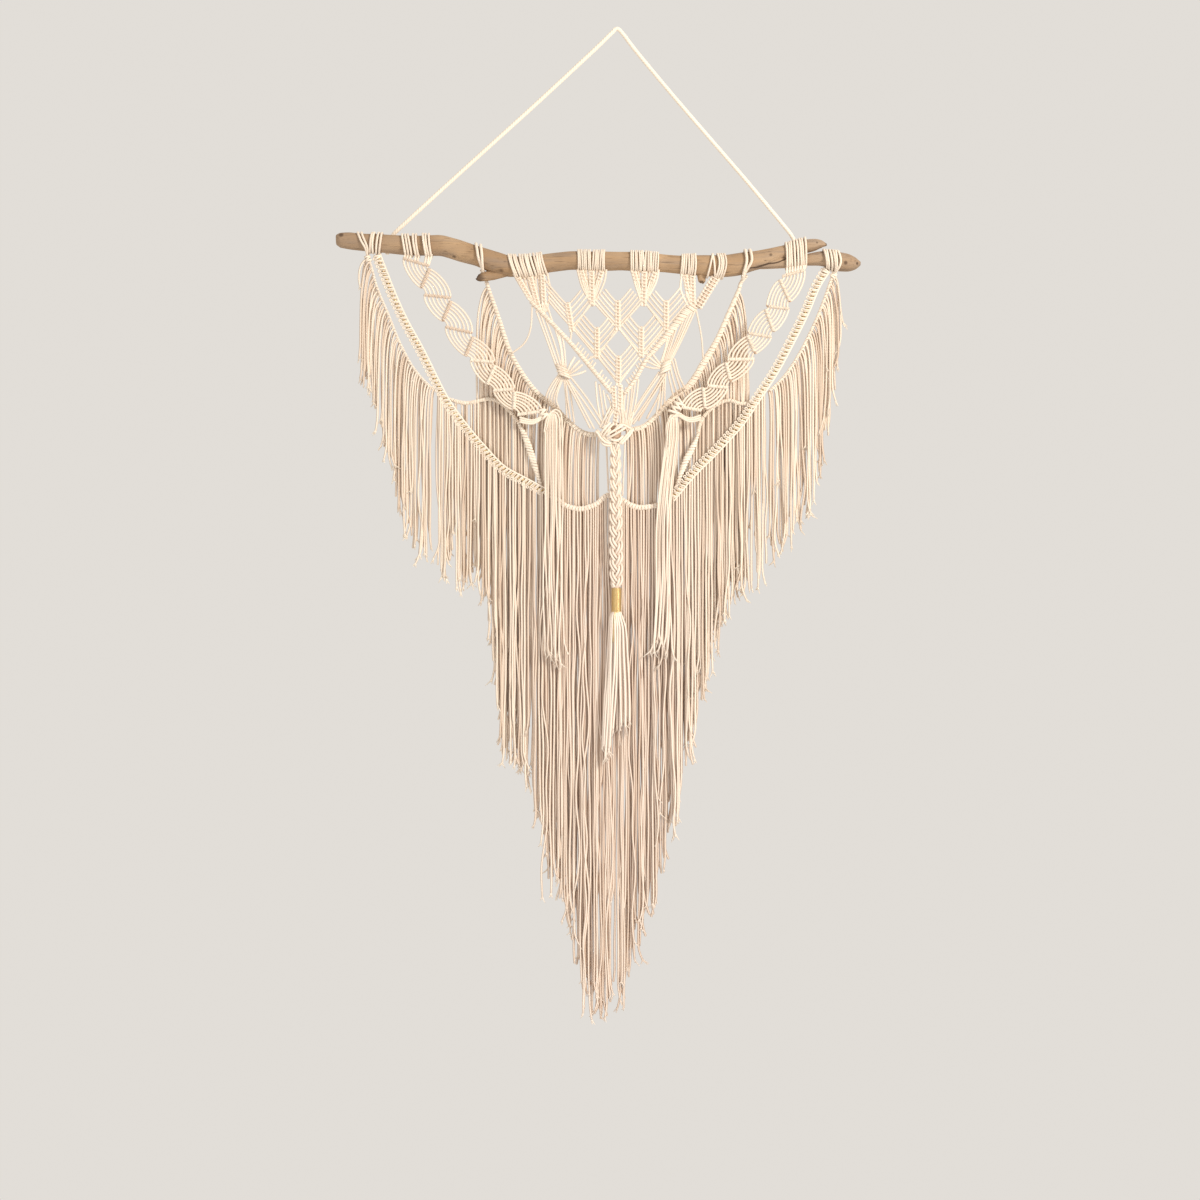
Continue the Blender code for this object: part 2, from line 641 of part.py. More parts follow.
def build_diamond_panel(headings, cotton):
    shells = list(headings)
    for sinnet, carriers in zip(SINNETS, CARRIERS):
        fishbone(sinnet, carriers, shells)
    for i, (x1, z1, x2, z2) in enumerate(PANEL_STRANDS):
        single = Shell()
        y = PANEL_Y + 0.3 * (i % 3) - 0.4
        strand(single, [(x1, y, z1), (x2, y, z2)], STRAND, STRAND)
        shells.append(single)
    for x1, x2, z2, half, knots in TAPERS:
        column = Shell()
        z1 = under_heading(stick_ring, x1, 3.6)
        route = Route([(x1, -2.6, z1), ((x1 + x2) / 2, PANEL_Y, (z1 + z2) / 2), (x2, PANEL_Y, z2)])
        knotted_bar(column, route, even_knots(0.0, route.length, knots, 0.62), half, 3.0, 0.7)
        shells.append(column)
    for corners, half in ((LEFT_EDGE, 3.0), (RIGHT_EDGE, 4.0)):
        edge = Shell()
        route = Route([(x, PANEL_Y, z) for x, z in corners])
        knotted_bar(edge, route, even_knots(0.0, route.length, 9, 0.7), half, 3.4, 0.75)
        shells.append(edge)
    x1, z1, x2, z2, half, knots = WEAVE
    weave = Shell()
    route = Route([(x1, PANEL_Y, z1), (x2, PANEL_Y, z2)])
    knotted_bar(weave, route, even_knots(0.0, route.length, knots, 0.62), half, 4.2, 0.82)
    shells.append(weave)
    for x, z, half in GATHERS:
        shells.append(lump((x, PANEL_Y, z), (half, half * 0.8, half), 6))
    for i, (x1, y1, z1, x2, y2, z2) in enumerate(GATHER_STRANDS):
        single = Shell()
        shift = 0.25 * (i % 3) - 0.25
        strand(single, [(x1, y1 + shift, z1), (x2, y2, z2)], STRAND * 0.9, STRAND * 0.9)
        shells.append(single)
    for points in LONE_STRANDS:
        single = Shell()
        strand(single, points, 1.6)
        shells.append(single)
    shells.append(lump(CENTRE_KNOT, KNOT_HALF, 10))
    return fuse("diamond_panel", shells, cotton)


# ---------------------------------------------------------------- plait, binding and centre tassel

BRAID_X = -2.0
BRAID_TOP = CENTRE_KNOT[2] - KNOT_HALF[2] - SEAT
BRAID_FOOT = -806.0
BRAID_SWING = 5.4       # how far each of the three bundles swings sideways
BRAID_WEAVE = 1.6       # and front to back
BUNDLE = 4.7            # half a bundle's thickness
BRAID_TURNS = 5.0
BRAID_STATIONS = 34
BRAID_SIDES = 8
WRAP_TOP, WRAP_FOOT = -808.0, -843.0
WRAP_RADIUS = 7.0
WRAP_WALL = 1.3
WRAP_TURNS = 5
WRAP_SIDES = 10
TASSEL_X = -1.0
TASSEL_HEAD = -856.0
TASSEL_STRAND = 1.3     # half the thickness of one of its tails
# Tassel tails: x, y and z of the tip, from its axis
TASSEL_TAILS = (
    (-15, -1, -990), (-11, 3, -1008), (-9, -4, -1022), (-5, 1, -1035), (-3, -4, -1012), (0, 3, -1043),
    (2, -2, -1030), (5, 3, -1038), (7, -4, -1016), (10, 0, -1028), (13, 3, -1002), (15, -3, -1020),
)


def braid_reach(angle, phase):
    """How far the plait's surface lies from its axis: the furthest of its three round bundles."""
    way = np.array([math.cos(angle), math.sin(angle)])
    reach = 2.0
    for bundle in range(3):
        turn = phase + 2 * math.pi * bundle / 3
        middle = np.array([BRAID_SWING * math.sin(turn), BRAID_WEAVE * math.sin(2 * turn)])
        along = middle @ way
        inside = BUNDLE ** 2 - middle @ middle + along ** 2
        if inside > 0:
            reach = max(reach, along + math.sqrt(inside))
    return reach


def build_braid(cotton):
    plait = Shell()
    rings = []
    for station in range(BRAID_STATIONS):
        t = station / (BRAID_STATIONS - 1)
        phase = 2 * math.pi * BRAID_TURNS * t
        z = BRAID_TOP + (BRAID_FOOT - BRAID_TOP) * t
        ring = []
        for side in range(BRAID_SIDES):
            angle = 2 * math.pi * (side + 0.5) / BRAID_SIDES
            reach = braid_reach(angle, phase)
            ring.append((BRAID_X + reach * math.cos(angle), BRAID_Y + reach * math.sin(angle), z))
        rings.append(ring)
    plait.loft(rings)
    return make_object("centre_braid", plait, cotton)


def build_wrap(gold):
    """Thread bound round the tassel's neck, one ridge for each of the turns that show from a step away."""
    binding = Shell()
    outer = []
    for i in range(2 * WRAP_TURNS + 1):
        z = WRAP_TOP + (WRAP_FOOT - WRAP_TOP) * i / (2 * WRAP_TURNS)
        outer.append((z, WRAP_RADIUS if i % 2 else WRAP_RADIUS - 0.5))
    profile = outer + [(WRAP_FOOT, WRAP_RADIUS - WRAP_WALL), (WRAP_TOP, WRAP_RADIUS - WRAP_WALL)]
    rings = []
    for side in range(WRAP_SIDES):
        angle = 2 * math.pi * side / WRAP_SIDES
        across, back = math.cos(angle), math.sin(angle)
        points = [(TASSEL_X + radius * across, BRAID_Y + radius * back, z) for z, radius in profile]
        rings.append(binding.ring(points))
    for side in range(WRAP_SIDES):
        binding.bridge(rings[side], rings[(side + 1) % WRAP_SIDES])
    return make_object("gold_wrap", binding, gold, 30)


def build_tassel(cotton):
    head = Shell()
    neck = WRAP_RADIUS - WRAP_WALL - SEAT
    full = neck + 2.6
    rings = []
    for z, wide, deep in ((BRAID_FOOT - SEAT, neck, neck), (WRAP_FOOT - SEAT, neck, neck),
                          (WRAP_FOOT - 6, full, 0.8 * full), (TASSEL_HEAD, full, 0.8 * full)):
        ring = []
        for side in range(WRAP_SIDES):
            angle = 2 * math.pi * side / WRAP_SIDES
            ring.append((TASSEL_X + wide * math.cos(angle), BRAID_Y + deep * math.sin(angle), z))
        rings.append(ring)
    head.loft(rings)
    shells = []
    for x, y, z in TASSEL_TAILS:
        tail = Shell()
        root = (TASSEL_X + 0.40 * x, BRAID_Y + 0.9 * y, TASSEL_HEAD + 4)
        bend = (TASSEL_X + 0.75 * x, BRAID_Y + y, TASSEL_HEAD - 40)
        strand(tail, [root, bend, (TASSEL_X + x, BRAID_Y + y, z)], TASSEL_STRAND)
        shells.append(tail)
    return fuse("centre_tassel", shells + [head], cotton)


# ---------------------------------------------------------------- the whole hanging

GARLAND_LEFT = ((-348, 0, -325), (-325, 0, -384), (-306, 0, -425), (-284, 0, -465), (-251, 0, -531),
                (-222, 0, -573), (-194, 0, -606), (-167, 0, -634), (-139, 0, -650), (-107, 0, -667))
GARLAND_RIGHT = ((304, 0, -346), (289, 0, -370), (272, 0, -410), (251, 0, -452), (229, 0, -493),
                 (204, 0, -531), (180, 0, -567), (142, 0, -609), (109, 0, -642), (78, 0, -679))
OUTER_LEFT = ((-364, 0, -323), (-357, 0, -340), (-348, 0, -372), (-331, 0, -413), (-316, 0, -450),
              (-297, 0, -486), (-278, 0, -509), (-265, 0, -521))
OUTER_RIGHT = ((317, 0, -350), (310, 0, -362), (302, 0, -385), (289, 0, -418), (266, 0, -465),
               (243, 0, -500), (219, 0, -524))
BOTTOM_SWAG = ((-106.5, 0, -667.4), (-87, 0, -679), (-77, 0, -687), (-55, 0, -693), (-32, 0, -687),
               (-13, 0, -673), (7, 0, -680), (19, 0, -687), (33, 0, -691), (52, 0, -689), (71, 0, -684.5))
INNER_LEFT = ((-197, 6.5, -345.5), (-191, INNER_Y, -358), (-187, INNER_Y, -372), (-171, INNER_Y, -418),
              (-157, INNER_Y, -461), (-139, INNER_Y, -494), (-118, INNER_Y, -522), (-91, INNER_Y, -544),
              (-68, INNER_Y, -568), (-45, INNER_Y, -583), (-14, INNER_Y, -584))
INNER_RIGHT = ((188, 5, -354), (180, INNER_Y, -364), (177, INNER_Y, -374), (162, INNER_Y, -409),
               (144, INNER_Y, -450), (129, INNER_Y, -475), (107, INNER_Y, -511), (84, INNER_Y, -528),
               (54, INNER_Y, -560), (35, INNER_Y, -574), (9, INNER_Y, -578))
MIDDLE_LEFT = ((-249, MIDDLE_Y, -532), (-219, MIDDLE_Y, -539), (-184, MIDDLE_Y, -533),
               (-162, MIDDLE_Y, -544), (-144, MIDDLE_Y, -567), (-133, MIDDLE_Y, -589),
               (-122, MIDDLE_Y, -622), (-110, MIDDLE_Y, -662))
MIDDLE_RIGHT = ((200, MIDDLE_Y, -538), (180, MIDDLE_Y, -540), (161, MIDDLE_Y, -535), (141, MIDDLE_Y, -544),
                (123, MIDDLE_Y, -563), (115, MIDDLE_Y, -592), (99, MIDDLE_Y, -625), (84, MIDDLE_Y, -668))
ZIGZAG_LEFT = ((-306, -334), (-273, -345), (-281, -378), (-241, -389), (-249, -425), (-210, -438),
               (-218, -473), (-178, -480), (-184, -518), (-149, -523), (-149, -552), (-110, -551))
ZIGZAG_RIGHT = ((270, -353), (236, -362), (251, -396), (216, -402), (226, -438), (188, -443),
                (200, -473), (160, -481), (170, -513), (126, -518), (129, -551), (88, -547))


def build_hanging():
    cotton = material("cotton_rope", (0.86, 0.78, 0.66), 0.92)
    cord = material("hanging_rope", (0.82, 0.77, 0.68), 0.85)
    wood = material("driftwood", (0.52, 0.38, 0.24), 0.85)
    gold = material("gold_thread", (0.80, 0.58, 0.20), 0.35, 0.8)

    build_stick(wood)
    build_hanging_cord(cord)
    end_loop = heading(prong_ring, 312, 322, 2, PRONG_STATIONS)
    build_outer_fringe("outer_fringe_left", OUTER_LEFT, stick_heading(-375, -366, 2, 6.0), -18.0, 22, cotton)
    build_outer_fringe("outer_fringe_right", OUTER_RIGHT, end_loop, 14.0, 20, cotton)
    build_garland("garland_left", GARLAND_LEFT, stick_heading(-358.5, -342, 4), 14, -256, 24, cotton)
    build_garland("garland_right", GARLAND_RIGHT, heading(prong_ring, 299, 309.5, 2), 12, 210, 24, cotton)
    build_inner_swag("inner_swag_left", INNER_LEFT, stick_heading(-204, -190, 2), 30.0, -9.0, 27, cotton)
    build_inner_swag("inner_swag_right", INNER_RIGHT, stick_heading(180, 196, 2), 24.0, 9.0, 27, cotton)
    build_middle_swag("middle_swag_left", MIDDLE_LEFT, -150, 13, 8, cotton)
    build_middle_swag("middle_swag_right", MIDDLE_RIGHT, 130, 11, 8, cotton)
    build_bottom_swag(BOTTOM_SWAG, 31, cotton)
    loops = [stick_heading(-310, -300, 2), stick_heading(-295, -285, 2), stick_heading(-278, -267, 2)]
    build_zigzag_band("zigzag_band_left", ZIGZAG_LEFT, stick_ring, loops,
                      (-302.5, -287.5, -275.2), (-112, -77, -550, 8), -905, cotton)
    build_zigzag_band("zigzag_band_right", ZIGZAG_RIGHT, fork_ring, [heading(fork_ring, 244, 273, 4)],
                      (247.6, 254.9, 269.4), (63, 92, -545, 8), -898, cotton)
    headings = [stick_heading(-152, -101, 5), stick_heading(-57, -17, 4), stick_heading(20, 60, 4),
                stick_heading(93, 114, 2), stick_heading(132, 155, 2)]
    build_diamond_panel(headings, cotton)
    build_braid(cotton)
    build_wrap(gold)
    build_tassel(cotton)


for old in list(bpy.data.objects):
    bpy.data.objects.remove(old, do_unlink=True)
build_hanging()
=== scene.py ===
import math

import bpy
import numpy as np
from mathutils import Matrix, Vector


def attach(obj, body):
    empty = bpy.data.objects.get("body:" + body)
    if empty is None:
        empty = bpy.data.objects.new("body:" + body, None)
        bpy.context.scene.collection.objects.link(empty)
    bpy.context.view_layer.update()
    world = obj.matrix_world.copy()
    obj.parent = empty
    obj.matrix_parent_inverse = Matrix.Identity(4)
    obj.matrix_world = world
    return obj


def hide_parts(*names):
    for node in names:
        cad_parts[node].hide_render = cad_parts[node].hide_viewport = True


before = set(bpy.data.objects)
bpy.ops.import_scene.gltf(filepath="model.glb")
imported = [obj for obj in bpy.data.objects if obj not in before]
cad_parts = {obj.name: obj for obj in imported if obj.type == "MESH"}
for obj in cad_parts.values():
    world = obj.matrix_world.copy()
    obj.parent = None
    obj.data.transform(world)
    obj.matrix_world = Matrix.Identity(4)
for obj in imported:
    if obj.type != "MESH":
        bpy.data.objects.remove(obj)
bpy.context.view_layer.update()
mm = 0.001
madeTriangles = []
print("packed model loaded")


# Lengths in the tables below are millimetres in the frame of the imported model: x to the right, y to the
# wall, z up.
yarn = {
    "radius": 1.8,          # knotting strand
    "turn": 13.8,           # length in which its plies go once round
    "knotStep": 2.3,        # between the rings of a strand in the knotwork
    "barStep": 2.0,         # between the points of a bar's route
    "toneSpread": (-0.08, 0.12),    # least and most that a strand's shade differs from its piece's
    "sideShade": 0.36,      # how much of deepen, painted shade, a strand's sides get
    "innerFade": 1.5,       # power by which a loop's painted shade grows towards its inner side
    "planeFront": -8.0,     # y of the bands and the diamond panel
    "planeEdge": -8.5,      # y of the panel's slanting edges
    "planeGarland": 0.0,
    "planeMiddle": 5.8,
    "planeInner": 10.5,
    "planePlait": -10.5,
}
# The loose plies at a strand's cut end: how far they lean as x, y, z, and how deep in it they start
brush = {"hairs": 3, "lean": (0.32, 0.2, 0.1), "length": (6.0, 12.0), "radius": (1.2, 1.2, 0.6),
         "inside": 3.0}


def unit(vectors):
    return vectors / np.maximum(np.linalg.norm(vectors, axis=-1, keepdims=True), 1e-9)


def runOf(line):
    # The distance along a line at each of its points.
    return np.concatenate([[0], np.cumsum(np.linalg.norm(np.diff(line, axis=0), axis=1))])


def lineLength(line):
    return float(runOf(line)[-1])


def pointAt(line, distance):
    return np.stack([np.interp(distance, runOf(line), line[:, k]) for k in range(3)], axis=-1)


def placeOfX(line, x):
    # The distance along a line that keeps to one way in x at which it reaches x.
    order = np.argsort(line[:, 0])
    return float(np.interp(x, line[order, 0], runOf(line)[order]))


def evenLine(line, spacing, closed=False):
    # The same line cut at even distances of about spacing; a closed one gets an even number of points.
    line = np.vstack([line, line[:1]]) if closed else np.asarray(line, float)
    length = lineLength(line)
    count = max(int(round(length / spacing)), 2)
    count += count % 2 if closed else 0
    cut = pointAt(line, np.linspace(0, length, count + 1))
    return cut[:-1] if closed else cut


def smoothLine(points, spacing):
    # Each span is the cubic through its two ends whose slopes there point from the corner before to the one
    # after.
    corners = np.array(points, float)
    ends = np.vstack([2 * corners[0] - corners[1], corners, 2 * corners[-1] - corners[-2]])
    p0, p1, p2, p3 = (ends[i:len(ends) - 3 + i, None] for i in range(4))
    t = np.linspace(0, 1, 12, endpoint=False)[None, :, None]
    curve = 2 * p1 + (p2 - p0) * t + (2 * p0 - 5 * p1 + 4 * p2 - p3) * t ** 2
    curve = 0.5 * (curve + (3 * p1 - p0 - 3 * p2 + p3) * t ** 3)
    return evenLine(np.vstack([curve.reshape(-1, 3), corners[-1:]]), spacing)


def barOn(route, plane):
    # The smooth line through x, z corners on a plane of the yarn.
    return smoothLine([(x, yarn[plane], z) for x, z in route], yarn["barStep"])


def crossAxes(line, across, closed=False):
    # Unit directions along the line, square to it and to across, and square to both of these.
    if closed:
        along = unit(np.roll(line, -1, axis=0) - np.roll(line, 1, axis=0))
    else:
        along = unit(np.gradient(line, axis=0))
    side = unit(np.cross(along, np.broadcast_to(np.asarray(across, float), line.shape)))
    return along, side, np.cross(side, along)


def tubeFaces(rings, sides, closed=False):
    # Two triangles for each quad between neighbouring rings, then those round the pole beyond either end.
    i, j = np.indices((rings if closed else rings - 1, sides)).reshape(2, -1)
    below, after = (i + 1) % rings, (j + 1) % sides
    a, b, c, d = i * sides + j, i * sides + after, below * sides + after, below * sides + j
    faces = np.stack([a, c, b, a, d, c], 1).reshape(-1, 3)
    if closed:
        return faces
    edge = np.arange(sides)
    following, last, pole = (edge + 1) % sides, (rings - 1) * sides, np.full(sides, rings * sides)
    return np.vstack([faces, np.stack([pole, edge, following], 1),
                      np.stack([pole + 1, last + following, last + edge], 1)])


class Bundle:
    # Gathers strands and makes one mesh of them. A strand is a tube: rings of corners square to its line.
    def __init__(self, seed=1, shade=0.1):
        self.corners, self.faces, self.wound, self.shades = [], [], [], []
        self.count, self.shade = 0, shade
        self.random = np.random.default_rng(seed)

    def lay(self, line, radius=None, across=(0, -1, 0), sides=6, closed=False, shade=None, deepen=0.85,
            behind=None):
        # Shade runs from 0, bright, to 1, hidden from the light; behind is its value at the back, where
        # that differs. Deepen adds to it: at both sides of a strand, as a squared cosine, and on the inner
        # side of a loop, as a power. Radius may change along the line. The strand's map holds turns along
        # it and a share round it.
        rings = len(line)
        reach = np.broadcast_to(yarn["radius"] if radius is None else radius, (rings,))[:, None]
        _, side, front = crossAxes(line, across, closed)
        turn = np.pi / 2 + 2 * np.pi * np.arange(sides) / sides
        points = (line[:, None] + (reach * np.cos(turn))[..., None] * side[:, None]
                  + (reach * np.sin(turn))[..., None] * front[:, None]).reshape(-1, 3)
        i, j = np.indices((rings if closed else rings - 1, sides)).reshape(2, -1)
        run = runOf(np.vstack([line, line[:1]]) if closed else line) / yarn["turn"]
        u, nextU, v, nextV = run[i], run[i + 1], j / sides, (j + 1) / sides
        wound = np.stack([u, v, nextU, nextV, u, nextV, u, v, nextU, v, nextU, nextV], 1).reshape(-1, 3, 2)
        if not closed:
            nose = np.stack([line[0] - 0.3 * (line[1] - line[0]), line[-1] + 0.15 * (line[-1] - line[-2])])
            points = np.vstack([points, nose])
            poleMap = np.zeros((2 * sides, 3, 2))
            poleMap[sides:, :, 0] = run[-1]
            wound = np.vstack([wound, poleMap])
        base = self.shade + self.random.uniform(*yarn["toneSpread"]) if shade is None else shade
        away = (1 - np.sin(turn)) / 2
        hidden = away ** yarn["innerFade"] if closed else yarn["sideShade"] * np.cos(turn) ** 2
        shades = np.full(len(points), base, float)
        shades[:rings * sides] = np.tile(base + away * ((base if behind is None else behind) - base)
                                         + deepen * hidden, rings)
        self.corners.append(points)
        self.faces.append(tubeFaces(rings, sides, closed) + self.count)
        self.wound.append(wound)
        self.shades.append(shades)
        self.count += len(points)

    def fray(self, line, shade):
        # Loose plies at a strand's cut end: short strands that lean away from each other as a square.
        end, way = line[-1], unit(line[-1] - line[-2])
        t = np.linspace(0, 1, 3)[:, None]
        for _ in range(brush["hairs"]):
            lean = self.random.normal(size=3) * brush["lean"]
            length = self.random.uniform(*brush["length"])
            hair = end - brush["inside"] * way + t * length * way + t ** 2 * length * lean
            self.lay(hair, np.array(brush["radius"]), sides=3, shade=shade, deepen=0.2)

    def ladder(self, line, half, pitch=5.0, bead=2.4):
        # A column of square knots: beads side by side, where two strands' radius peaks as a cosine along
        # them, a short strand over each pair, and a core in shadow.
        steps = 6
        fine = evenLine(line, pitch / steps)
        _, side, _ = crossAxes(fine, (0, 1, 0))
        swell = 0.5 - 0.5 * np.cos(2 * np.pi * np.arange(len(fine)) / steps)
        for way in (-1, 1):
            self.lay(fine + way * (half - bead) * side, bead * (0.5 + 0.5 * np.sqrt(swell)), shade=0.0,
                     deepen=0.7)
        for at in range(steps // 2, len(fine) - steps // 2, steps):
            over = fine[at] + np.outer((-1, 0, 1), (half - 1.6) * side[at])
            over[:, 1] -= (2.0, 2.7, 2.0)
            self.lay(over, 0.95, sides=5, shade=0.05)
        self.lay(evenLine(line + np.array([0, 1.0, 0]), 4.0), 0.5 * half, shade=0.5)

    def rings(self, line, places, wide, deep, radius, tilts):
        # Closed loops round a core line at the places given, which lean by the tilts given.
        spacing, steps = 0.5, 8
        fine = evenLine(line, spacing)
        along, side, front = crossAxes(fine, (0, 1, 0))
        index = np.clip(np.round(np.asarray(places) / spacing).astype(int), 0, len(fine) - 1)
        angle = 2 * np.pi * (np.arange(steps)[:, None] + 0.5) / steps
        for at, lean, half in zip(index, tilts, np.broadcast_to(wide, index.shape)):
            grow = 1 + 0.06 * self.random.uniform(-1, 1)
            out = np.cos(angle) * half * grow * side[at] + np.sin(angle) * deep * front[at]
            loop = fine[at] + out + lean * half * np.cos(angle) * along[at]
            self.lay(loop, radius, across=unit(out), sides=5, closed=True, deepen=0.75)

    def knots(self, line, wide, deep, radius, pitch, tilt):
        # Square knots: loops, a pitch apart, that lean by turns to the left and to the right.
        places = np.arange(radius, lineLength(line) - radius * 0.4, pitch)
        self.rings(line, places, wide, deep, radius, tilt * (1 - 2 * (np.arange(len(places)) % 2)))

    def hitches(self, line, thick=3.0, pitch=5.0, tilt=0.3, radius=1.12, deep=None):
        # Half hitches on a carrier strand: pairs of loops side by side that lean the same way, with a gap
        # after each. The half thickness may change along the line.
        length = lineLength(line)
        middles = np.arange(pitch / 2, length - pitch * 0.4, pitch)
        places = np.sort(np.concatenate([middles - 0.98 * radius, middles + 0.98 * radius]))
        half = np.interp(places / length, np.linspace(0, 1, np.size(thick)), np.atleast_1d(thick))
        deep = deep or float(np.mean(thick))
        # The carrier is painted deep in shade, so the gaps between the pairs show as shadow.
        self.lay(evenLine(line, 3.0), max(float(np.min(thick)) - 1.1 * radius, 0.6), shade=0.85)
        self.rings(line, places, half - radius, deep - radius, radius, np.full(len(places), tilt))

    def make(self, name, nodes, finish=None, slot="cotton_rope"):
        corners = np.concatenate(self.corners) * mm
        faces = np.concatenate(self.faces)
        wound = np.concatenate(self.wound)
        mesh = bpy.data.meshes.new(name)
        mesh.vertices.add(len(corners))
        mesh.vertices.foreach_set("co", corners.astype(np.float32).ravel())
        mesh.loops.add(len(faces) * 3)
        mesh.loops.foreach_set("vertex_index", faces.astype(np.int32).ravel())
        mesh.polygons.add(len(faces))
        mesh.polygons.foreach_set("loop_start", np.arange(0, len(faces) * 3, 3, dtype=np.int32))
        mesh.polygons.foreach_set("use_smooth", np.ones(len(faces), bool))
        layer = mesh.uv_layers.new(name="strand")
        layer.uv.foreach_set("vector", wound.astype(np.float32).ravel())
        shade = mesh.attributes.new("shade", "FLOAT", "POINT")
        shade.data.foreach_set("value", np.clip(np.concatenate(self.shades), 0, 1).astype(np.float32))
        mesh.update(calc_edges=True)
        mesh.validate()
        return place(mesh, nodes, finish or cottonRope)


def place(mesh, nodes, finish):
    # Puts a finished mesh into the scene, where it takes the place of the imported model's nodes named.
    mesh.materials.append(finish)
    made = bpy.data.objects.new(mesh.name, mesh)
    bpy.context.scene.collection.objects.link(made)
    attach(made, "root")
    if nodes:
        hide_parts(*nodes)
    madeTriangles.append(len(mesh.polygons))
    print(f"{mesh.name}: {len(mesh.polygons)} triangles")
    return made


class Socket:
    # Wraps a shader socket, so that sums and products of values add their Math nodes.
    def __init__(self, tree, socket):
        self.tree, self.socket = tree, socket

    def math(self, operation, *others):
        return self.tree.math(operation, self, *others)

    def __add__(self, other):
        return self.math("ADD", other)

    def __sub__(self, other):
        return self.math("SUBTRACT", other)

    def __rsub__(self, other):
        return self.tree.math("SUBTRACT", other, self)

    def __mul__(self, other):
        return self.math("MULTIPLY", other)


class Finish:
    # A material whose nodes are added by one method.
    sockets = {"colour": "Base Color", "roughness": "Roughness", "normal": "Normal"}

    def __init__(self, name, roughness, specular):
        self.material = bpy.data.materials.new(name)
        self.material.use_nodes = True
        self.nodes = self.material.node_tree.nodes
        self.links = self.material.node_tree.links
        self.shader = self.nodes["Principled BSDF"]
        self.shader.inputs["Roughness"].default_value = roughness
        self.shader.inputs["Specular IOR Level"].default_value = specular

    def node(self, kind, settings=None, inputs=None, output=0):
        made = self.nodes.new(kind)
        for key, value in (settings or {}).items():
            if key == "stops":
                ramp = made.color_ramp
                while len(ramp.elements) < len(value):
                    ramp.elements.new(0.5)
                for element, (stop, colour) in zip(ramp.elements, value):
                    element.position = stop
                    element.color = (*colour, 1.0)
            else:
                setattr(made, key, value)
        for key, value in (inputs or {}).items():
            if isinstance(value, Socket):
                self.links.new(value.socket, made.inputs[key])
            else:
                made.inputs[key].default_value = value
        return Socket(self, made.outputs[output])

    def math(self, operation, *values):
        return self.node("ShaderNodeMath", {"operation": operation}, dict(enumerate(values)))

    def coordinates(self, which, scale=(1, 1, 1)):
        source = self.node("ShaderNodeTexCoord", output=which)
        return self.node("ShaderNodeMapping", inputs={"Vector": source, "Scale": scale})

    def axis(self, vector, number):
        return self.node("ShaderNodeSeparateXYZ", inputs={0: vector}, output=number)

    def noise(self, vector, scale, detail, **more):
        return self.node("ShaderNodeTexNoise", inputs={"Vector": vector, "Scale": scale, "Detail": detail,
                                                       **more})

    def spread(self, value, low, high):
        # 0 where the value is low and 1 where it is high, even between them.
        return self.node("ShaderNodeMapRange", inputs={0: value, 1: low, 2: high})

    def fade(self, value, low, high, most):
        # The most where the value is low and 0 where it is high, smooth between them.
        return self.node("ShaderNodeMapRange", {"interpolation_type": "SMOOTHSTEP"},
                         {0: value, 1: low, 2: high, 3: most, 4: 0.0})

    def mix(self, factor, one, two):
        # Sockets 6 and 7 of a Mix node are its two colours, and output 2 is their mix. A factor is kept
        # within 0 and 1.
        return self.node("ShaderNodeMix", {"data_type": "RGBA"}, {0: factor, 6: one, 7: two}, output=2)

    def ramp(self, value, stops):
        return self.node("ShaderNodeValToRGB", {"stops": stops}, {0: value})

    def shade(self):
        # The number that a strand's corners carry. Output 2 of an Attribute node is its number.
        return self.node("ShaderNodeAttribute", {"attribute_name": "shade"}, output=2)

    def bump(self, strength, distance, height):
        return self.node("ShaderNodeBump", inputs={"Strength": strength, "Distance": distance,
                                                   "Height": height})

    def feed(self, **inputs):
        for key, value in inputs.items():
            self.links.new(value.socket, self.shader.inputs[self.sockets[key]])


cottonLook = {
    "light": (0.95, 0.86, 0.73, 1),
    "warm": (0.92, 0.805, 0.66, 1),
    "blush": (0.96, 0.85, 0.755, 1),
    # The colour of painted shade, towards which the yarn turns by the shade its corners carry
    "deep": (0.42, 0.255, 0.155, 1),
    "pliesAround": 3,
    "groove": 0.10,         # how dark the painted shade in the line between two plies is
    "fibre": 0.34,
    "hidden": 0.9,          # how dark the yarn is where shade is 1
    "blushShare": 0.7,
    "blushWidth": (0.20, 0.04),     # distance from the middle where the blush starts and is full, in metres
    "blushHeight": (-0.55, -0.85),
}


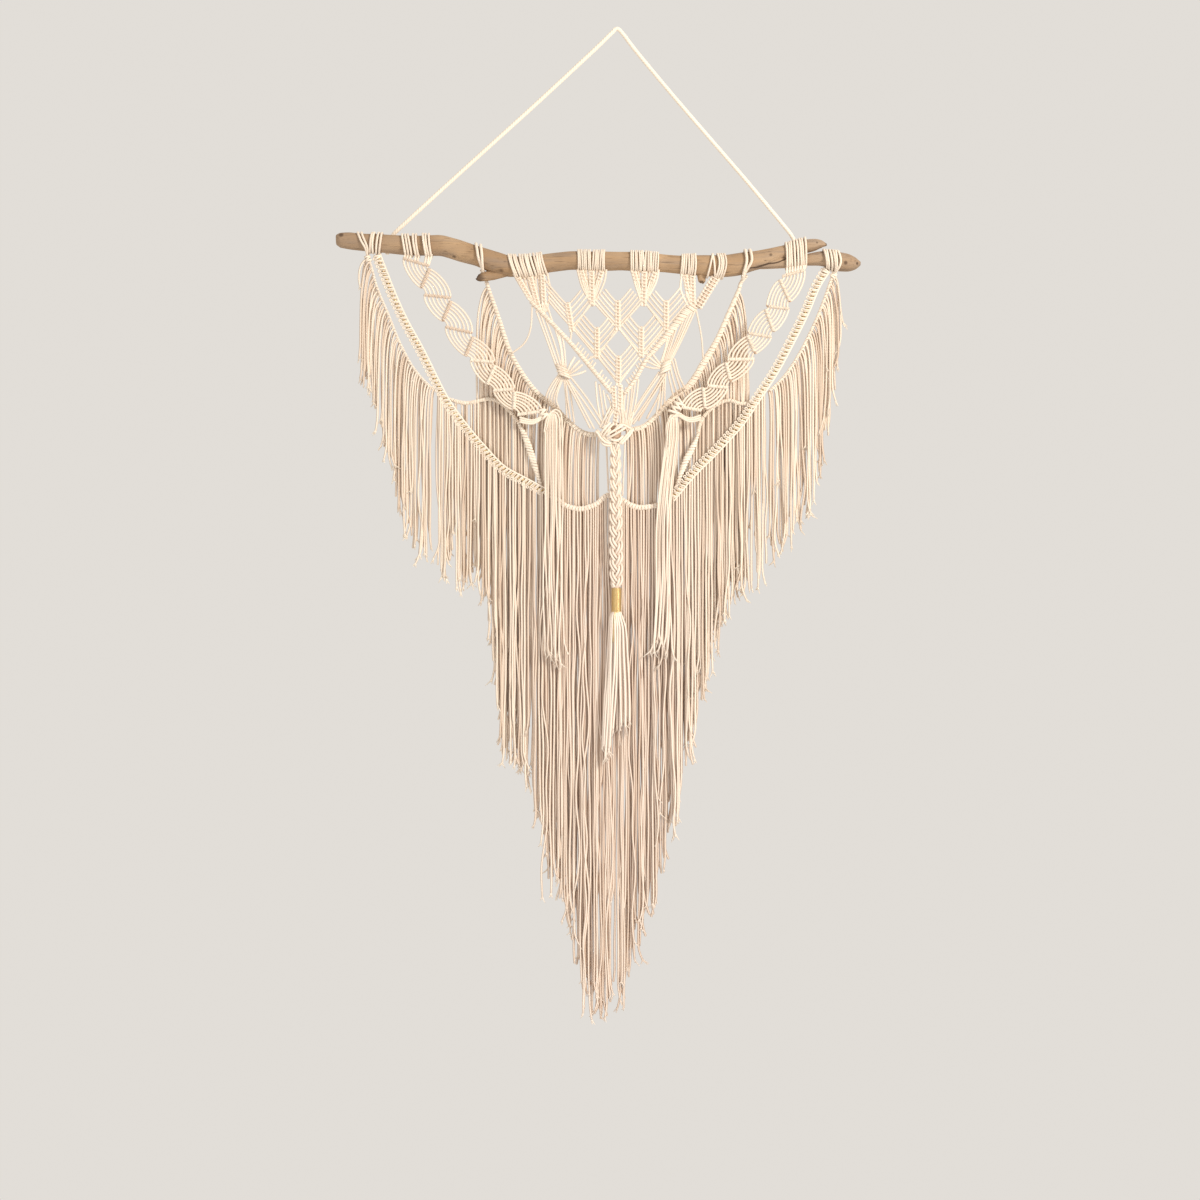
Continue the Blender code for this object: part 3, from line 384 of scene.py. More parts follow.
def makeCotton():
    # The plies' line follows the strand's own map: once round it for each turn along it. The yarn is pinker
    # towards the lower middle of the fringe.
    cotton = Finish("cottonRope", roughness=0.93, specular=0.15)
    cotton.shader.inputs["Sheen Weight"].default_value = 0.15
    cotton.shader.inputs["Sheen Roughness"].default_value = 0.55
    strandMap = cotton.coordinates("UV")
    along, around = cotton.axis(strandMap, 0), cotton.axis(strandMap, 1)
    ply = ((along - around) * (2 * math.pi * cottonLook["pliesAround"])).math("COSINE") * 0.5 + 0.5
    shade = cotton.shade()
    lengthwise = cotton.node("ShaderNodeCombineXYZ", inputs={0: along * 2.0, 1: (along - around) * 16.0,
                                                             2: shade * 9.0})
    fibre = cotton.noise(lengthwise, scale=1.3, detail=2.0)
    where = cotton.coordinates("Object")
    cloud = cotton.noise(where, scale=9.0, detail=1.0)
    middle = cotton.spread(cotton.axis(where, 0).math("ABSOLUTE"), *cottonLook["blushWidth"])
    low = cotton.spread(cotton.axis(where, 2), *cottonLook["blushHeight"])
    body = cotton.mix(cloud, cottonLook["light"], cottonLook["warm"])
    body = cotton.mix(middle * low * cottonLook["blushShare"], body, cottonLook["blush"])
    # The line between two plies is darkened as painted shade; fibre noise varies the tone along the strand
    groove = (1.0 - ply) * cottonLook["groove"] + (fibre - 0.5) * cottonLook["fibre"]
    # Painted shade: the yarn turns towards deep by the shade its corners carry, as far as hidden says
    dark = groove.math("MAXIMUM", 0.0) + shade * cottonLook["hidden"]
    cotton.feed(colour=cotton.mix(dark.math("MINIMUM", 1.0), body, cottonLook["deep"]),
                normal=cotton.bump(strength=0.35, distance=0.0006, height=ply * 0.8 + fibre * 0.5))
    return cotton.material


goldLook = {
    # The colours of the thread's ramp; its brightest stops are painted glints
    "stops": ((0.3, (0.42, 0.25, 0.09)), (0.46, (0.80, 0.56, 0.22)), (0.64, (1.0, 0.86, 0.54))),
    # The colour of painted shade, towards which the thread turns by the shade its corners carry
    "deep": (0.20, 0.11, 0.05, 1),
}


def makeGold():
    # Noise stretched along the thread paints glints on it: bright and dark colours from a ramp, rougher where
    # it is bright.
    gold = Finish("goldThread", roughness=0.34, specular=0.5)
    gold.shader.inputs["Metallic"].default_value = 0.75
    glint = gold.noise(gold.coordinates("UV", (1.0, 6.0, 1.0)), scale=5.0, detail=2.0)
    bright = gold.ramp(glint, goldLook["stops"])
    # Painted shade: the thread turns towards deep by the shade its corners carry
    gold.feed(colour=gold.mix(gold.shade().math("MINIMUM", 1.0), bright, goldLook["deep"]),
              roughness=glint * 0.3 + 0.2)
    return gold.material


woodLook = {
    "tan": (0.365, 0.227, 0.121, 1),
    "light": (0.52, 0.35, 0.203, 1),
    "grey": (0.285, 0.21, 0.155, 1),
    "dark": (0.09, 0.054, 0.034, 1),
    # How many times finer the grain is along and across the stick, in turns a metre
    "grain": (7.0, 95.0, 95.0), "fineGrain": (30.0, 520.0, 520.0),
    "streaks": ((0.32, (1, 1, 1)), (0.47, (0.35, 0.35, 0.35)), (0.62, (0, 0, 0))),
    # x, y, z and size of the darker spots: knots, the broken stubs' cores and the prongs' worn tips
    "spots": ((-399, -9, -297, 4.5), (-204, -3, -360, 15), (289, -7, -308, 3), (304, 0, -309, 5),
              (347, -6, -338, 3), (123, -4, -366, 6), (222, -13, -326, 4), (-168, -14, -352, 6),
              (330, -12, -338, 4), (-236, -10, -330, 5)),
    # x and z where the crack from the fork starts and ends, and its half width
    "crack": (188, -346, 250, -328, 0.9),
}


def makeWood():
    # Long grain is noise stretched along the stick. Grey grows towards both ends, spots fade with distance,
    # and the crack is what lies close to a line that noise bends.
    wood = Finish("driftwoodGrain", roughness=0.78, specular=0.25)
    where = wood.coordinates("Object")
    grain = wood.noise(wood.coordinates("Object", woodLook["grain"]), scale=1.0, detail=5.0, Roughness=0.62,
                       Distortion=0.5)
    fine = wood.noise(wood.coordinates("Object", woodLook["fineGrain"]), scale=1.0, detail=3.0)
    patch = wood.noise(where, scale=14.0, detail=3.0)
    x, z = wood.axis(where, 0), wood.axis(where, 2)
    colour = wood.mix(wood.spread(patch, 0.36, 0.64), woodLook["tan"], woodLook["light"])
    colour = wood.mix(wood.ramp(grain, woodLook["streaks"]) * 0.75, colour, woodLook["grey"])
    end = wood.spread((x + 0.03).math("ABSOLUTE"), 0.20, 0.38)
    colour = wood.mix(end * 0.75 * patch + end * 0.15, colour, woodLook["grey"])
    colour = wood.mix(wood.spread(fine, 0.40, 0.30) * 0.55, colour, woodLook["dark"])
    x1, z1, x2, z2, half = (value * mm for value in woodLook["crack"])
    offLine = z - (x - x1) * ((z2 - z1) / (x2 - x1)) - z1 + (patch - 0.5) * 0.022
    crack = wood.fade(offLine.math("ABSOLUTE"), 0.4 * half, 1.6 * half, 1.0)
    crack = crack * (x.math("GREATER_THAN", x1) * x.math("LESS_THAN", x2))
    marked = crack
    for *middle, size in woodLook["spots"]:
        far = wood.node("ShaderNodeVectorMath", {"operation": "DISTANCE"},
                        {0: where, 1: [value * mm for value in middle]}, output=1)
        marked = marked + wood.fade(far + (patch - 0.5) * 0.004, 0.35 * size * mm, size * mm, 0.8)
    colour = wood.mix((marked * (fine + 0.55)).math("MINIMUM", 0.95), colour, woodLook["dark"])
    wood.feed(colour=colour, roughness=grain * 0.2 + 0.68,
              normal=wood.bump(strength=0.7, distance=0.0016, height=grain * 0.9 + fine * 0.45 - crack))
    return wood.material


cottonRope = makeCotton()
goldThread = makeGold()
driftwoodGrain = makeWood()
print("finishes made")


floor = {"z": -2.0, "left": -1.3, "right": 1.3, "front": -1.2, "back": 0.85, "colour": (0.86, 0.85, 0.83, 1)}


def buildStage():
    mesh = bpy.data.meshes.new("floor")
    left, right, front, back = (floor[side] for side in ("left", "right", "front", "back"))
    outline = ((left, front), (right, front), (right, back), (left, back))
    mesh.from_pydata([(x, y, floor["z"]) for x, y in outline], [], [(0, 1, 2, 3)])
    made = bpy.data.objects.new("floor", mesh)
    bpy.context.scene.collection.objects.link(made)
    paint = Finish("floorPaint", roughness=0.9, specular=0.1)
    paint.shader.inputs["Base Color"].default_value = floor["colour"]
    mesh.materials.append(paint.material)


studio = {
    "world": (0.760, 0.728, 0.685, 1), "worldStrength": 1.0,
    # name, place, what it faces, size, watts, colour
    "lights": (
        ("keyLight", (2.2, -2.2, 0.7), (0.0, 0.0, -0.75), 0.8, 92, (1.0, 0.955, 0.89)),
        ("fillLight", (-0.7, -2.6, -1.7), (0.0, 0.0, -1.3), 1.4, 17, (1.0, 0.98, 0.98)),
        ("backLight", (0.6, 2.4, 0.6), (0.0, 0.0, -0.8), 1.6, 16, (1.0, 0.98, 0.95)),
    ),
    "camera": {"place": (-0.0247, -3.0, -0.825), "lens": 62.07, "sensor": 36.0, "farthest": 50.0},
}


def buildStudio():
    scene = bpy.context.scene
    world = bpy.data.worlds.new("paleRoom")
    world.use_nodes = True
    background = world.node_tree.nodes["Background"]
    background.inputs[0].default_value = studio["world"]
    background.inputs[1].default_value = studio["worldStrength"]
    scene.world = world
    for name, spot, target, size, watts, colour in studio["lights"]:
        lamp = bpy.data.lights.new(name, "AREA")
        lamp.size, lamp.energy, lamp.color = size, watts, colour
        item = bpy.data.objects.new(name, lamp)
        item.location = spot
        item.rotation_euler = (Vector(target) - Vector(spot)).to_track_quat("-Z", "Y").to_euler()
        scene.collection.objects.link(item)
    lens = bpy.data.cameras.new("camera")
    lens.lens, lens.sensor_width = studio["camera"]["lens"], studio["camera"]["sensor"]
    lens.sensor_fit = "HORIZONTAL"
    lens.clip_end = studio["camera"]["farthest"]
    camera = bpy.data.objects.new("camera", lens)
    camera.location = studio["camera"]["place"]
    camera.rotation_euler = (math.pi / 2, 0, 0)
    scene.collection.objects.link(camera)
    scene.camera = camera
    scene.view_settings.view_transform = "Standard"


buildStage()
buildStudio()
print("studio made")


# x, y, z from behind the stick's left end over the hook to behind its right end
hangingRoute = (
    (-335, 16.0, -321), (-333, 16.1, -308), (-327, 15.5, -294), (-305, 13.0, -273), (-233, 9.5, -208),
    (-120, 4.0, -107), (-34, 0.8, -28), (-9, 0.0, -4), (0, 0.0, 3.2), (9, 0.0, -5), (29, 0.6, -31),
    (90, 4.5, -103), (184, 11.0, -210), (243, 16.6, -279), (256, 18.3, -296), (262, 18.3, -310),
    (264, 17.9, -322),
)
hangingCord = {"diameter": 6.4, "step": 2.1, "sides": 12, "lobe": 0.07}


def buildHangingCord():
    line = smoothLine(hangingRoute, hangingCord["step"])
    rope = Bundle()
    radius = hangingCord["diameter"] / 2 / (1 + hangingCord["lobe"])
    sides = hangingCord["sides"]
    rope.lay(line, radius, sides=sides, shade=0.05, deepen=0.25)
    # The plies: corners swell where a wave for each ply round the rope, turned evenly along it, is high.
    points = rope.corners[0][:-2].reshape(len(line), sides, 3)
    turns = hangingCord["step"] * np.arange(len(line))[:, None] / yarn["turn"]
    wave = np.cos(cottonLook["pliesAround"] * 2 * np.pi * (np.arange(sides)[None] / sides - turns))
    points[:] = line[:, None] + (points - line[:, None]) * (1 + hangingCord["lobe"] * wave)[..., None]
    made = rope.make("hangingCord", ["hanging_cord"], slot="hanging_rope")
    print(f"hanging cord is {lineLength(line):.0f} mm long")


buildHangingCord()


# x, centre z, half height
stickStations = (
    (-407, -302.5, 7.0), (-402, -303, 10.6), (-387, -304, 12.3), (-373, -306, 12.0), (-344, -308, 12.7),
    (-310, -311, 13.5), (-286, -312, 14.5), (-255, -311, 14.9), (-228, -319, 15.6), (-204, -326, 14.5),
    (-184, -334, 16.6), (-170, -338, 16.6), (-154, -342, 15.2), (-126, -341, 14.5), (-99, -336, 13.8),
    (-67, -332, 13.4), (-20, -333, 13.8), (41, -334, 13.4), (70, -337, 12.2), (91, -339, 12.6),
    (120, -340, 14.5), (154, -342, 16.0), (180, -338, 16.2), (197, -334, 14.0), (216, -330, 13.4),
    (244, -320, 9.9), (274, -312, 10.2), (289, -310, 9.0), (297, -308.5, 5.5), (304, -310, 1.6),
)
prongStations = (
    (196, -339, 5.0), (210, -337, 8.5), (244, -335.5, 8.6), (274, -332, 8.0), (297, -330, 10.8),
    (319, -334, 13.8), (338, -336, 12.3), (347, -337, 7.5), (353, -337, 2.5),
)
stick = {
    "sides": 40,
    "step": 2.0,
    "fineEnd": 6.0,         # length at either end with closer rings
    "depth": 0.92,          # depth as a share of the height
    "bark": 0.04,
    "waves": 7,             # how many waves make its relief, and how high they are
    "furrow": 0.35,
    # The broken side branches: x, z and half width at the end, then at the root
    "stubs": ((-203, -358.5, 4.5, -158, -348, 7.5), (123, -365, 4.5, 122, -340, 6.5)),
}
stub = {
    "sides": 20,
    # How far down the stub each ring lies, and its width as a share
    "share": np.array((0.0, 0.03, 0.1, 0.2, 0.35, 0.55, 0.8, 1.0)),
    "width": np.array((0.45, 0.85, 1, 1, 1, 1, 1, 1)),
    "ragged": 1.6,
    "rough": 0.05,
}


def ovals(x, centre, half, sides, relief=0.0):
    # An oval at each x, pulled out of round by a slow wave: corners by station, then by side.
    angle = 2 * np.pi * np.arange(sides) / sides
    reach = half[:, None] * (1 + stick["bark"] * np.sin(3 * angle[None] + x[:, None] / 70)) + relief
    y, z = stick["depth"] * reach * np.cos(angle), centre[:, None] + reach * np.sin(angle)
    return np.stack([np.broadcast_to(x[:, None], y.shape), y, z], axis=2)


def readStations(stations, x):
    # The centre's height and the half height at each x, even between the stations.
    places, centres, halves = np.array(stations, float).T
    return np.interp(x, places, centres), np.interp(x, places, halves)


def stickOutline(stations, x, sides=32):
    x = np.array([x], float)
    return ovals(x, *readStations(stations, x), sides)[0]


def softened(values, passes):
    for _ in range(passes):
        values = np.concatenate([values[:1], (values[:-2] + 2 * values[1:-1] + values[2:]) / 4, values[-1:]])
    return values


def limbRings(stations, seed):
    # The stations' outline at close steps, its kinks rounded, with long furrows and low bumps added to its
    # radius.
    random = np.random.default_rng(seed)
    first, last, fine = stations[0][0], stations[-1][0], stick["fineEnd"]
    x = np.concatenate([np.linspace(first, first + fine, 7)[:-1],
                        np.arange(first + fine, last - fine, stick["step"]),
                        np.linspace(last - fine, last, 7)])
    centre, half = readStations(stations, x)
    centre, half = softened(centre, 12), softened(half, 6)
    angle = 2 * np.pi * np.arange(stick["sides"]) / stick["sides"]
    relief = np.zeros((len(x), stick["sides"]))
    for _ in range(stick["waves"]):
        turns = int(random.integers(2, 13))
        wave = np.sin(turns * angle[None] + random.uniform(0, 6.3) + np.sin(x / random.uniform(30, 90))[:,
                                                                                                        None]
                      * random.uniform(0.5, 1.6))
        relief += wave * stick["furrow"] * random.uniform(0.2, 0.6)
    relief -= 0.5 * np.maximum(0, np.sin(x / 23.0 + 1.3))[:, None] ** 6 * (1 + np.cos(angle[None] + 2.2))
    return ovals(x, centre, half, stick["sides"], relief * np.clip(half / 6.0, 0, 1)[:, None])


def stubRings(endX, endZ, endHalf, rootX, rootZ, rootHalf, seed):
    # A broken side branch: rings from its ragged end to its root inside the stick.
    random = np.random.default_rng(seed)
    steep = abs(rootZ - endZ) > abs(rootX - endX)
    share, sides = stub["share"], stub["sides"]
    half = (endHalf + (rootHalf - endHalf) * np.minimum(1, 2 * share)) * stub["width"]
    angle = 2 * np.pi * np.arange(sides) / sides
    rough = stub["rough"] * random.normal(size=(len(share), sides))
    reach = half[:, None] * (1 + 2 * stub["rough"] * np.sin(2 * angle + 1)[None] + rough)
    wide, deep = reach * np.cos(angle), 0.85 * reach * np.sin(angle)
    x, z = (endX + (rootX - endX) * share)[:, None], (endZ + (rootZ - endZ) * share)[:, None]
    ragged = stub["ragged"] * random.normal(size=sides) * (share == 0.0)[:, None]
    if steep:
        return np.stack([x + wide, deep, z + ragged], axis=2)
    return np.stack([x + ragged, -deep, z + wide], axis=2)


def closeRings(rings):
    # Corners and faces of a closed tube through equal rings, with a pole at each end.
    count, sides = rings.shape[:2]
    i, j = np.indices((count - 1, sides)).reshape(2, -1)
    after = (j + 1) % sides
    a, b, c, d = i * sides + j, i * sides + after, (i + 1) * sides + after, (i + 1) * sides + j
    edge = np.arange(sides)
    following, last, pole = (edge + 1) % sides, (count - 1) * sides, np.full(sides, count * sides)
    faces = np.vstack([np.stack([a, b, c], 1), np.stack([a, c, d], 1), np.stack([pole, following, edge], 1),
                       np.stack([pole + 1, last + edge, last + following], 1)])
    return np.vstack([rings.reshape(-1, 3), rings[0].mean(0), rings[-1].mean(0)]), faces


def buildStick():
    limbs = [limbRings(stickStations, 3), limbRings(prongStations, 8)]
    limbs += [stubRings(*places, seed=20 + number) for number, places in enumerate(stick["stubs"])]
    corners, faces, count = [], [], 0
    for rings in limbs:
        points, sides = closeRings(rings)
        corners.append(points)
        faces.append(sides + count)
        count += len(points)
    mesh = bpy.data.meshes.new("driftwoodStick")
    mesh.from_pydata((np.concatenate(corners) * mm).tolist(), [], np.concatenate(faces).tolist())
    mesh.shade_smooth()
    place(mesh, ["driftwood_stick"], driftwoodGrain)


buildStick()


def loopRound(sections, x, gap, slide=0.0):
    # A closed loop round one or two convex outlines at x: in each direction the furthest corner, moved out
    # by gap. Its top and foot slide aside by slide.
    outline = np.vstack([stickOutline(stations, x) for stations in sections])
    angle = 2 * np.pi * np.arange(72) / 72
    way = np.stack([0 * angle, np.cos(angle), np.sin(angle)], 1)
    furthest = outline[np.argmax(outline @ way.T, axis=0)]
    loop = furthest + gap * way
    low, high = loop[:, 2].min(), loop[:, 2].max()
    loop[:, 0] = x - slide * (2 * loop[:, 2] - low - high) / (high - low)
    return evenLine(loop, yarn["knotStep"], closed=True)


# How far the loops round the stick differ: place, gap to the bark, slide, bulge, shade
loopSpread = {"place": (-0.45, 0.45), "gap": (0.1, 0.7), "slide": (-0.7, 0.7), "bulge": (-0.9, 0.9),
              "shade": (0.08, 0.30)}


def headingLoops(bundle, sections, places, slide=0.0, gather=None, radius=None, bulge=0.0):
    # Loops of yarn over the stick, none quite like the next, that bulge aside at half height. Below the
    # stick's middle they may draw in to one point, gather = (x, z).
    radius = radius or yarn["radius"]
    random = bundle.random
    for x in places:
        x = x + random.uniform(*loopSpread["place"])
        loop = loopRound(sections, x, radius + random.uniform(*loopSpread["gap"]),
                         slide + random.uniform(*loopSpread["slide"]))
        low, high = loop[:, 2].min(), loop[:, 2].max()
        share = np.clip((high - loop[:, 2]) / (high - low), 0, 1)
        loop[:, 0] += (bulge + random.uniform(*loopSpread["bulge"])) * np.sin(np.pi * share)
        if gather:
            pull = np.clip((share - 0.45) / 0.55, 0, 1) ** 2
            loop[:, 0] += (gather[0] - loop[:, 0]) * pull
            loop[:, 2] += (gather[1] - low) * pull ** 3
        loop = evenLine(loop, yarn["knotStep"], closed=True)
        out = loop - loop.mean(0)
        out[:, 0] = 0
        bundle.lay(loop, radius, across=unit(out), closed=True, shade=random.uniform(*loopSpread["shade"]),
                   deepen=0.7)


# Lower edge of the whole fringe: x, z
hemTable = np.array((
    (-380, -470), (-367, -496), (-357, -519), (-326, -639), (-315, -703), (-307, -729), (-291, -753),
    (-261, -773), (-239, -798), (-197, -806), (-184, -860), (-174, -989), (-161, -1060), (-141, -1070),
    (-125, -1121), (-106, -1175), (-99, -1236), (-83, -1252), (-67, -1317), (-52, -1386), (-38, -1431),
    (-19, -1433), (-6, -1400), (10, -1396), (28, -1336), (39, -1300), (55, -1276), (67, -1200),
    (88, -1150), (97, -1080), (109, -1056), (115, -1018), (128, -953), (145, -892), (168, -826),
    (216, -781), (261, -722), (278, -697), (291, -645), (309, -571), (324, -455),
), float)
# What all fringe has in common
fall = {
    # For the front row and the one behind; toneBehind is the shade at a strand's back, one value or a span
    "radius": (1.6, 1.62), "sides": (5, 4), "toneBehind": (0.25, (0.0, 0.14)),
    "scatter": (0.32, 0.15), "spreadShare": (1.0, 0.72),
    "rowDepth": 3.0, "rowLift": 14.0,       # how much further back and higher the row behind ends
    "step": 7.0,            # between the rings of a strand
    "lowest": -1434.0,      # z of the longest strand's cut end
    # Where a bar has no value of its own: distances from its ends, how far the strands move out sideways
    # and the least share of it, drop of the roots, lift and unevenness of the cut ends, run and rise of the
    # first bend
    "start": 4.0, "end": 2.0, "spread": 0.0, "leastSpread": 0.2, "below": -0.8, "lift": 0.0, "uneven": 13.0,
    "springRun": 26.0, "rise": 0.0, "deepen": 1.6,
    "looseShare": 0.18, "sway": (1.5, 4.8), "swayDeep": 1.0,    # sway of an even strand and of a loose one
    "swayLengths": ((230, 420), (90, 150)), "swayParts": (1.0, 0.4),
    "shortShare": 0.24, "short": (20.0, 140.0), "shortest": 40.0,   # how many end higher, by what, the least
    "tipRun": 24.0, "tipPower": 1.7, "tipBend": 3.2,
    "behindPlait": (0.12, 26.0),    # extra painted shade there, and how wide it reaches
}


def hemAt(x):
    return np.interp(x, hemTable[:, 0], hemTable[:, 1])


def fallingStrand(bundle, root, foot, plan, spread, shade, row):
    # x moves out by spread as 1 less a falling exponential. Slow sines that grow with the drop sway the
    # strand, few of them much, and others draw neighbours together. Its last stretch bends aside as a
    # power.
    random = bundle.random
    drop = root[2] - foot
    count = max(int((drop - 30) / plan["step"]), 4)
    t = np.concatenate([np.arange(0, 27, 3.4), np.linspace(30, drop, count)])
    grow = np.clip(t / 190.0, 0, 1)
    loose = random.uniform() < plan["looseShare"]
    wave = np.zeros((2, len(t)))
    for axis, size in enumerate((plan["sway"][int(loose)], plan["swayDeep"])):
        lengths = [random.uniform(*span) for span in plan["swayLengths"]]
        for length, part in zip(lengths, plan["swayParts"]):
            phase = random.uniform(0, 6.28)
            tall = size * random.uniform(0.2, 1.0) * part
            wave[axis] += tall * (np.sin(2 * np.pi * t / length + phase) - math.sin(phase))
    down = root[2] - t
    around = 2 * np.pi * root[0]
    bunch = 1.0 * np.sin(around / 17.0 + 0.004 * down) + 0.8 * np.sin(around / 29.0 + 1.0)
    tip = np.clip(1 + (t - drop) / plan["tipRun"], 0, 1) ** plan["tipPower"]
    settle = 1 - np.exp(-t / plan["springRun"])
    x = root[0] + spread * settle + grow * (wave[0] + bunch) + tip * random.normal() * plan["tipBend"]
    y = root[1] + grow * (wave[1] - (2.0 if loose else 0.0)) + tip * random.uniform(-2.0, 2.0)
    z = down + plan["rise"] * np.sin(np.pi * np.clip(t / 24.0, 0, 1))
    line = np.stack([x, y, z], 1)
    radius = plan["radius"][row] * random.uniform(0.9, 1.08) * (1 - 0.1 * tip)
    behind = random.uniform(*plan["toneBehind"][1]) if row else plan["toneBehind"][0]
    bundle.lay(line, radius, sides=plan["sides"][row], shade=shade, deepen=plan["deepen"], behind=behind)
    if not row:
        bundle.fray(line, shade)


def hangFringe(bundle, bar, plan):
    # Strands along a bar, closer where it runs level, each to the hem under it: a row in front and one behind
    # it in painted shadow. Their tone follows slow sines of x, with painted shadow behind the plait and the
    # tassel.
    plan = {**fall, **plan}
    random = bundle.random
    fine = pointAt(bar, np.linspace(plan["start"], lineLength(bar) - plan["end"], 200))
    step = np.abs(np.diff(fine, axis=0))
    weight = np.concatenate([[0], np.cumsum(step[:, 0] + 0.4 * step[:, 2])])
    for row, count in enumerate((plan["strands"], plan["behind"])):
        places = np.linspace(0, 1, count) + random.uniform(-1, 1, count) * plan["scatter"][row] / count
        roots = np.stack([np.interp(places * weight[-1], weight, fine[:, k]) for k in range(3)], 1)
        for number, root in enumerate(roots):
            share = 1 - (1 - plan["leastSpread"]) * number / (count - 1)
            spread = plan["spread"] * share * random.uniform(0.72, 1.22) * plan["spreadShare"][row]
            root = root + (0.0, plan["rowDepth"] * row + random.uniform(-0.9, 0.9), plan["below"])
            foot = hemAt(root[0] + spread) + plan["lift"] * random.uniform(0.0, 1.0)
            foot += max(random.normal(), -1.1) * plan["uneven"] + plan["rowLift"] * row
            if row == 0 and random.uniform() < plan["shortShare"]:
                foot += random.uniform(*plan["short"])
            foot = max(foot, plan["lowest"] + 12.0 * (0.37 * number % 1.0))
            if row:
                # The row behind gets less painted shadow near the top of its bar.
                sunk = np.clip((fine[0, 2] - root[2]) / 150.0, 0.4, 1.0)
                shade = random.uniform(*plan["rearShade"]) * sunk
            else:
                x = root[0] + spread
                more, wide = plan["behindPlait"]
                tone = 0.14 * math.sin(x / 2.1) + 0.14 * math.sin(x / 3.9 + 1.3) + random.uniform(-0.2, 0.2)
                shade = bundle.shade + max(tone, -bundle.shade) + more * math.exp(-(x / wide) ** 2)
            fallingStrand(bundle, root, min(foot, root[2] - plan["shortest"]), plan, spread, shade, row)


outerFringe = {
    "both": {"strands": 36, "rearShade": (0.24, 0.42), "start": 3.0, "springRun": 18.0, "rise": 3.0,
             "uneven": 12.0, "leastSpread": 0.35},
    "left": {"name": "outerFringeLeft", "node": "outer_fringe_left", "behind": 30,
             "spread": -15.0, "tilt": 0.35,
             "route": ((-363, -326), (-357, -340), (-348, -372), (-331, -413), (-316, -450), (-297, -486),
                       (-278, -509), (-265, -521)),
             "thick": 2.3, "loops": (-369.5, -364.5), "slide": 6.0, "gather": (-362, -326),
             "sections": (stickStations,)},
    "right": {"name": "outerFringeRight", "node": "outer_fringe_right", "behind": 31,
              "spread": 11.5, "tilt": -0.35,
              "route": ((316, -350), (310, -362), (302, -385), (289, -418), (266, -465), (243, -500),
                        (219, -524)),
              "thick": 2.7, "loops": (314.0, 318.0, 322.0), "slide": 2.0, "gather": (316, -351),
              "sections": (prongStations,)},
}


def buildPair(build, table, seed):
    # Builds the left and the right piece, each from the values of both and its own.
    build({**table["both"], **table["left"]}, seed)
    build({**table["both"], **table["right"]}, seed + 1)


def buildOuterFringe(plan, seed):
    piece = Bundle(seed, shade=0.05)
    bar = barOn(plan["route"], "planeGarland")
    piece.hitches(bar, plan["thick"], pitch=4.4, tilt=plan["tilt"], radius=1.0)
    headingLoops(piece, plan["sections"], plan["loops"], plan["slide"], plan["gather"])
    piece.knots(bar[:6], wide=3.4, deep=3.0, radius=1.6, pitch=3.0, tilt=0.2)
    hangFringe(piece, bar, plan)
    piece.make(plan["name"], [plan["node"]])


buildPair(buildOuterFringe, outerFringe, 11)


garland = {
    "both": {"behind": 27, "rearShade": (0.12, 0.30), "start": 1.0, "end": 1.0, "uneven": 12.0},
    "left": {"name": "garlandLeft", "node": "garland_left", "strands": 37, "fringeFrom": -260, "lean": 0.4,
             "route": ((-348, -325), (-325, -384), (-306, -425), (-284, -465), (-251, -531), (-222, -573),
                       (-194, -606), (-167, -634), (-139, -650), (-107, -667)),
             "loops": (-356.5, -352.5, -346.5, -342.5), "slide": -1.5, "sections": (stickStations,)},
    "right": {"name": "garlandRight", "node": "garland_right", "strands": 36, "fringeFrom": 214,
              "lean": -0.4,
              "route": ((304, -346), (289, -370), (272, -410), (251, -452), (229, -493), (204, -531),
                        (180, -567), (142, -609), (109, -642), (78, -679)),
              "loops": (301.5, 305.5, 309.5), "slide": 2.0, "sections": (prongStations,)},
}
lace = {
    "edge": 4.9, "edgeRadius": 1.4,     # half width of the band, and radius of the cord along its edge
    "pitch": 6.4,
    # The two loops of a pair: place in it, half width, half depth, radius
    "loops": ((0.0, 4.5, 2.3, 1.25), (2.2, 4.1, 1.8, 0.85)),
    "picot": (1.7, 1.9, 0.95),      # half width, half height, radius
    "forward": 0.8,                 # how far the edge and the picots lie before the band's middle
    "goldSwing": 2.5, "goldTurn": 9.3, "goldRadius": 0.9,
}


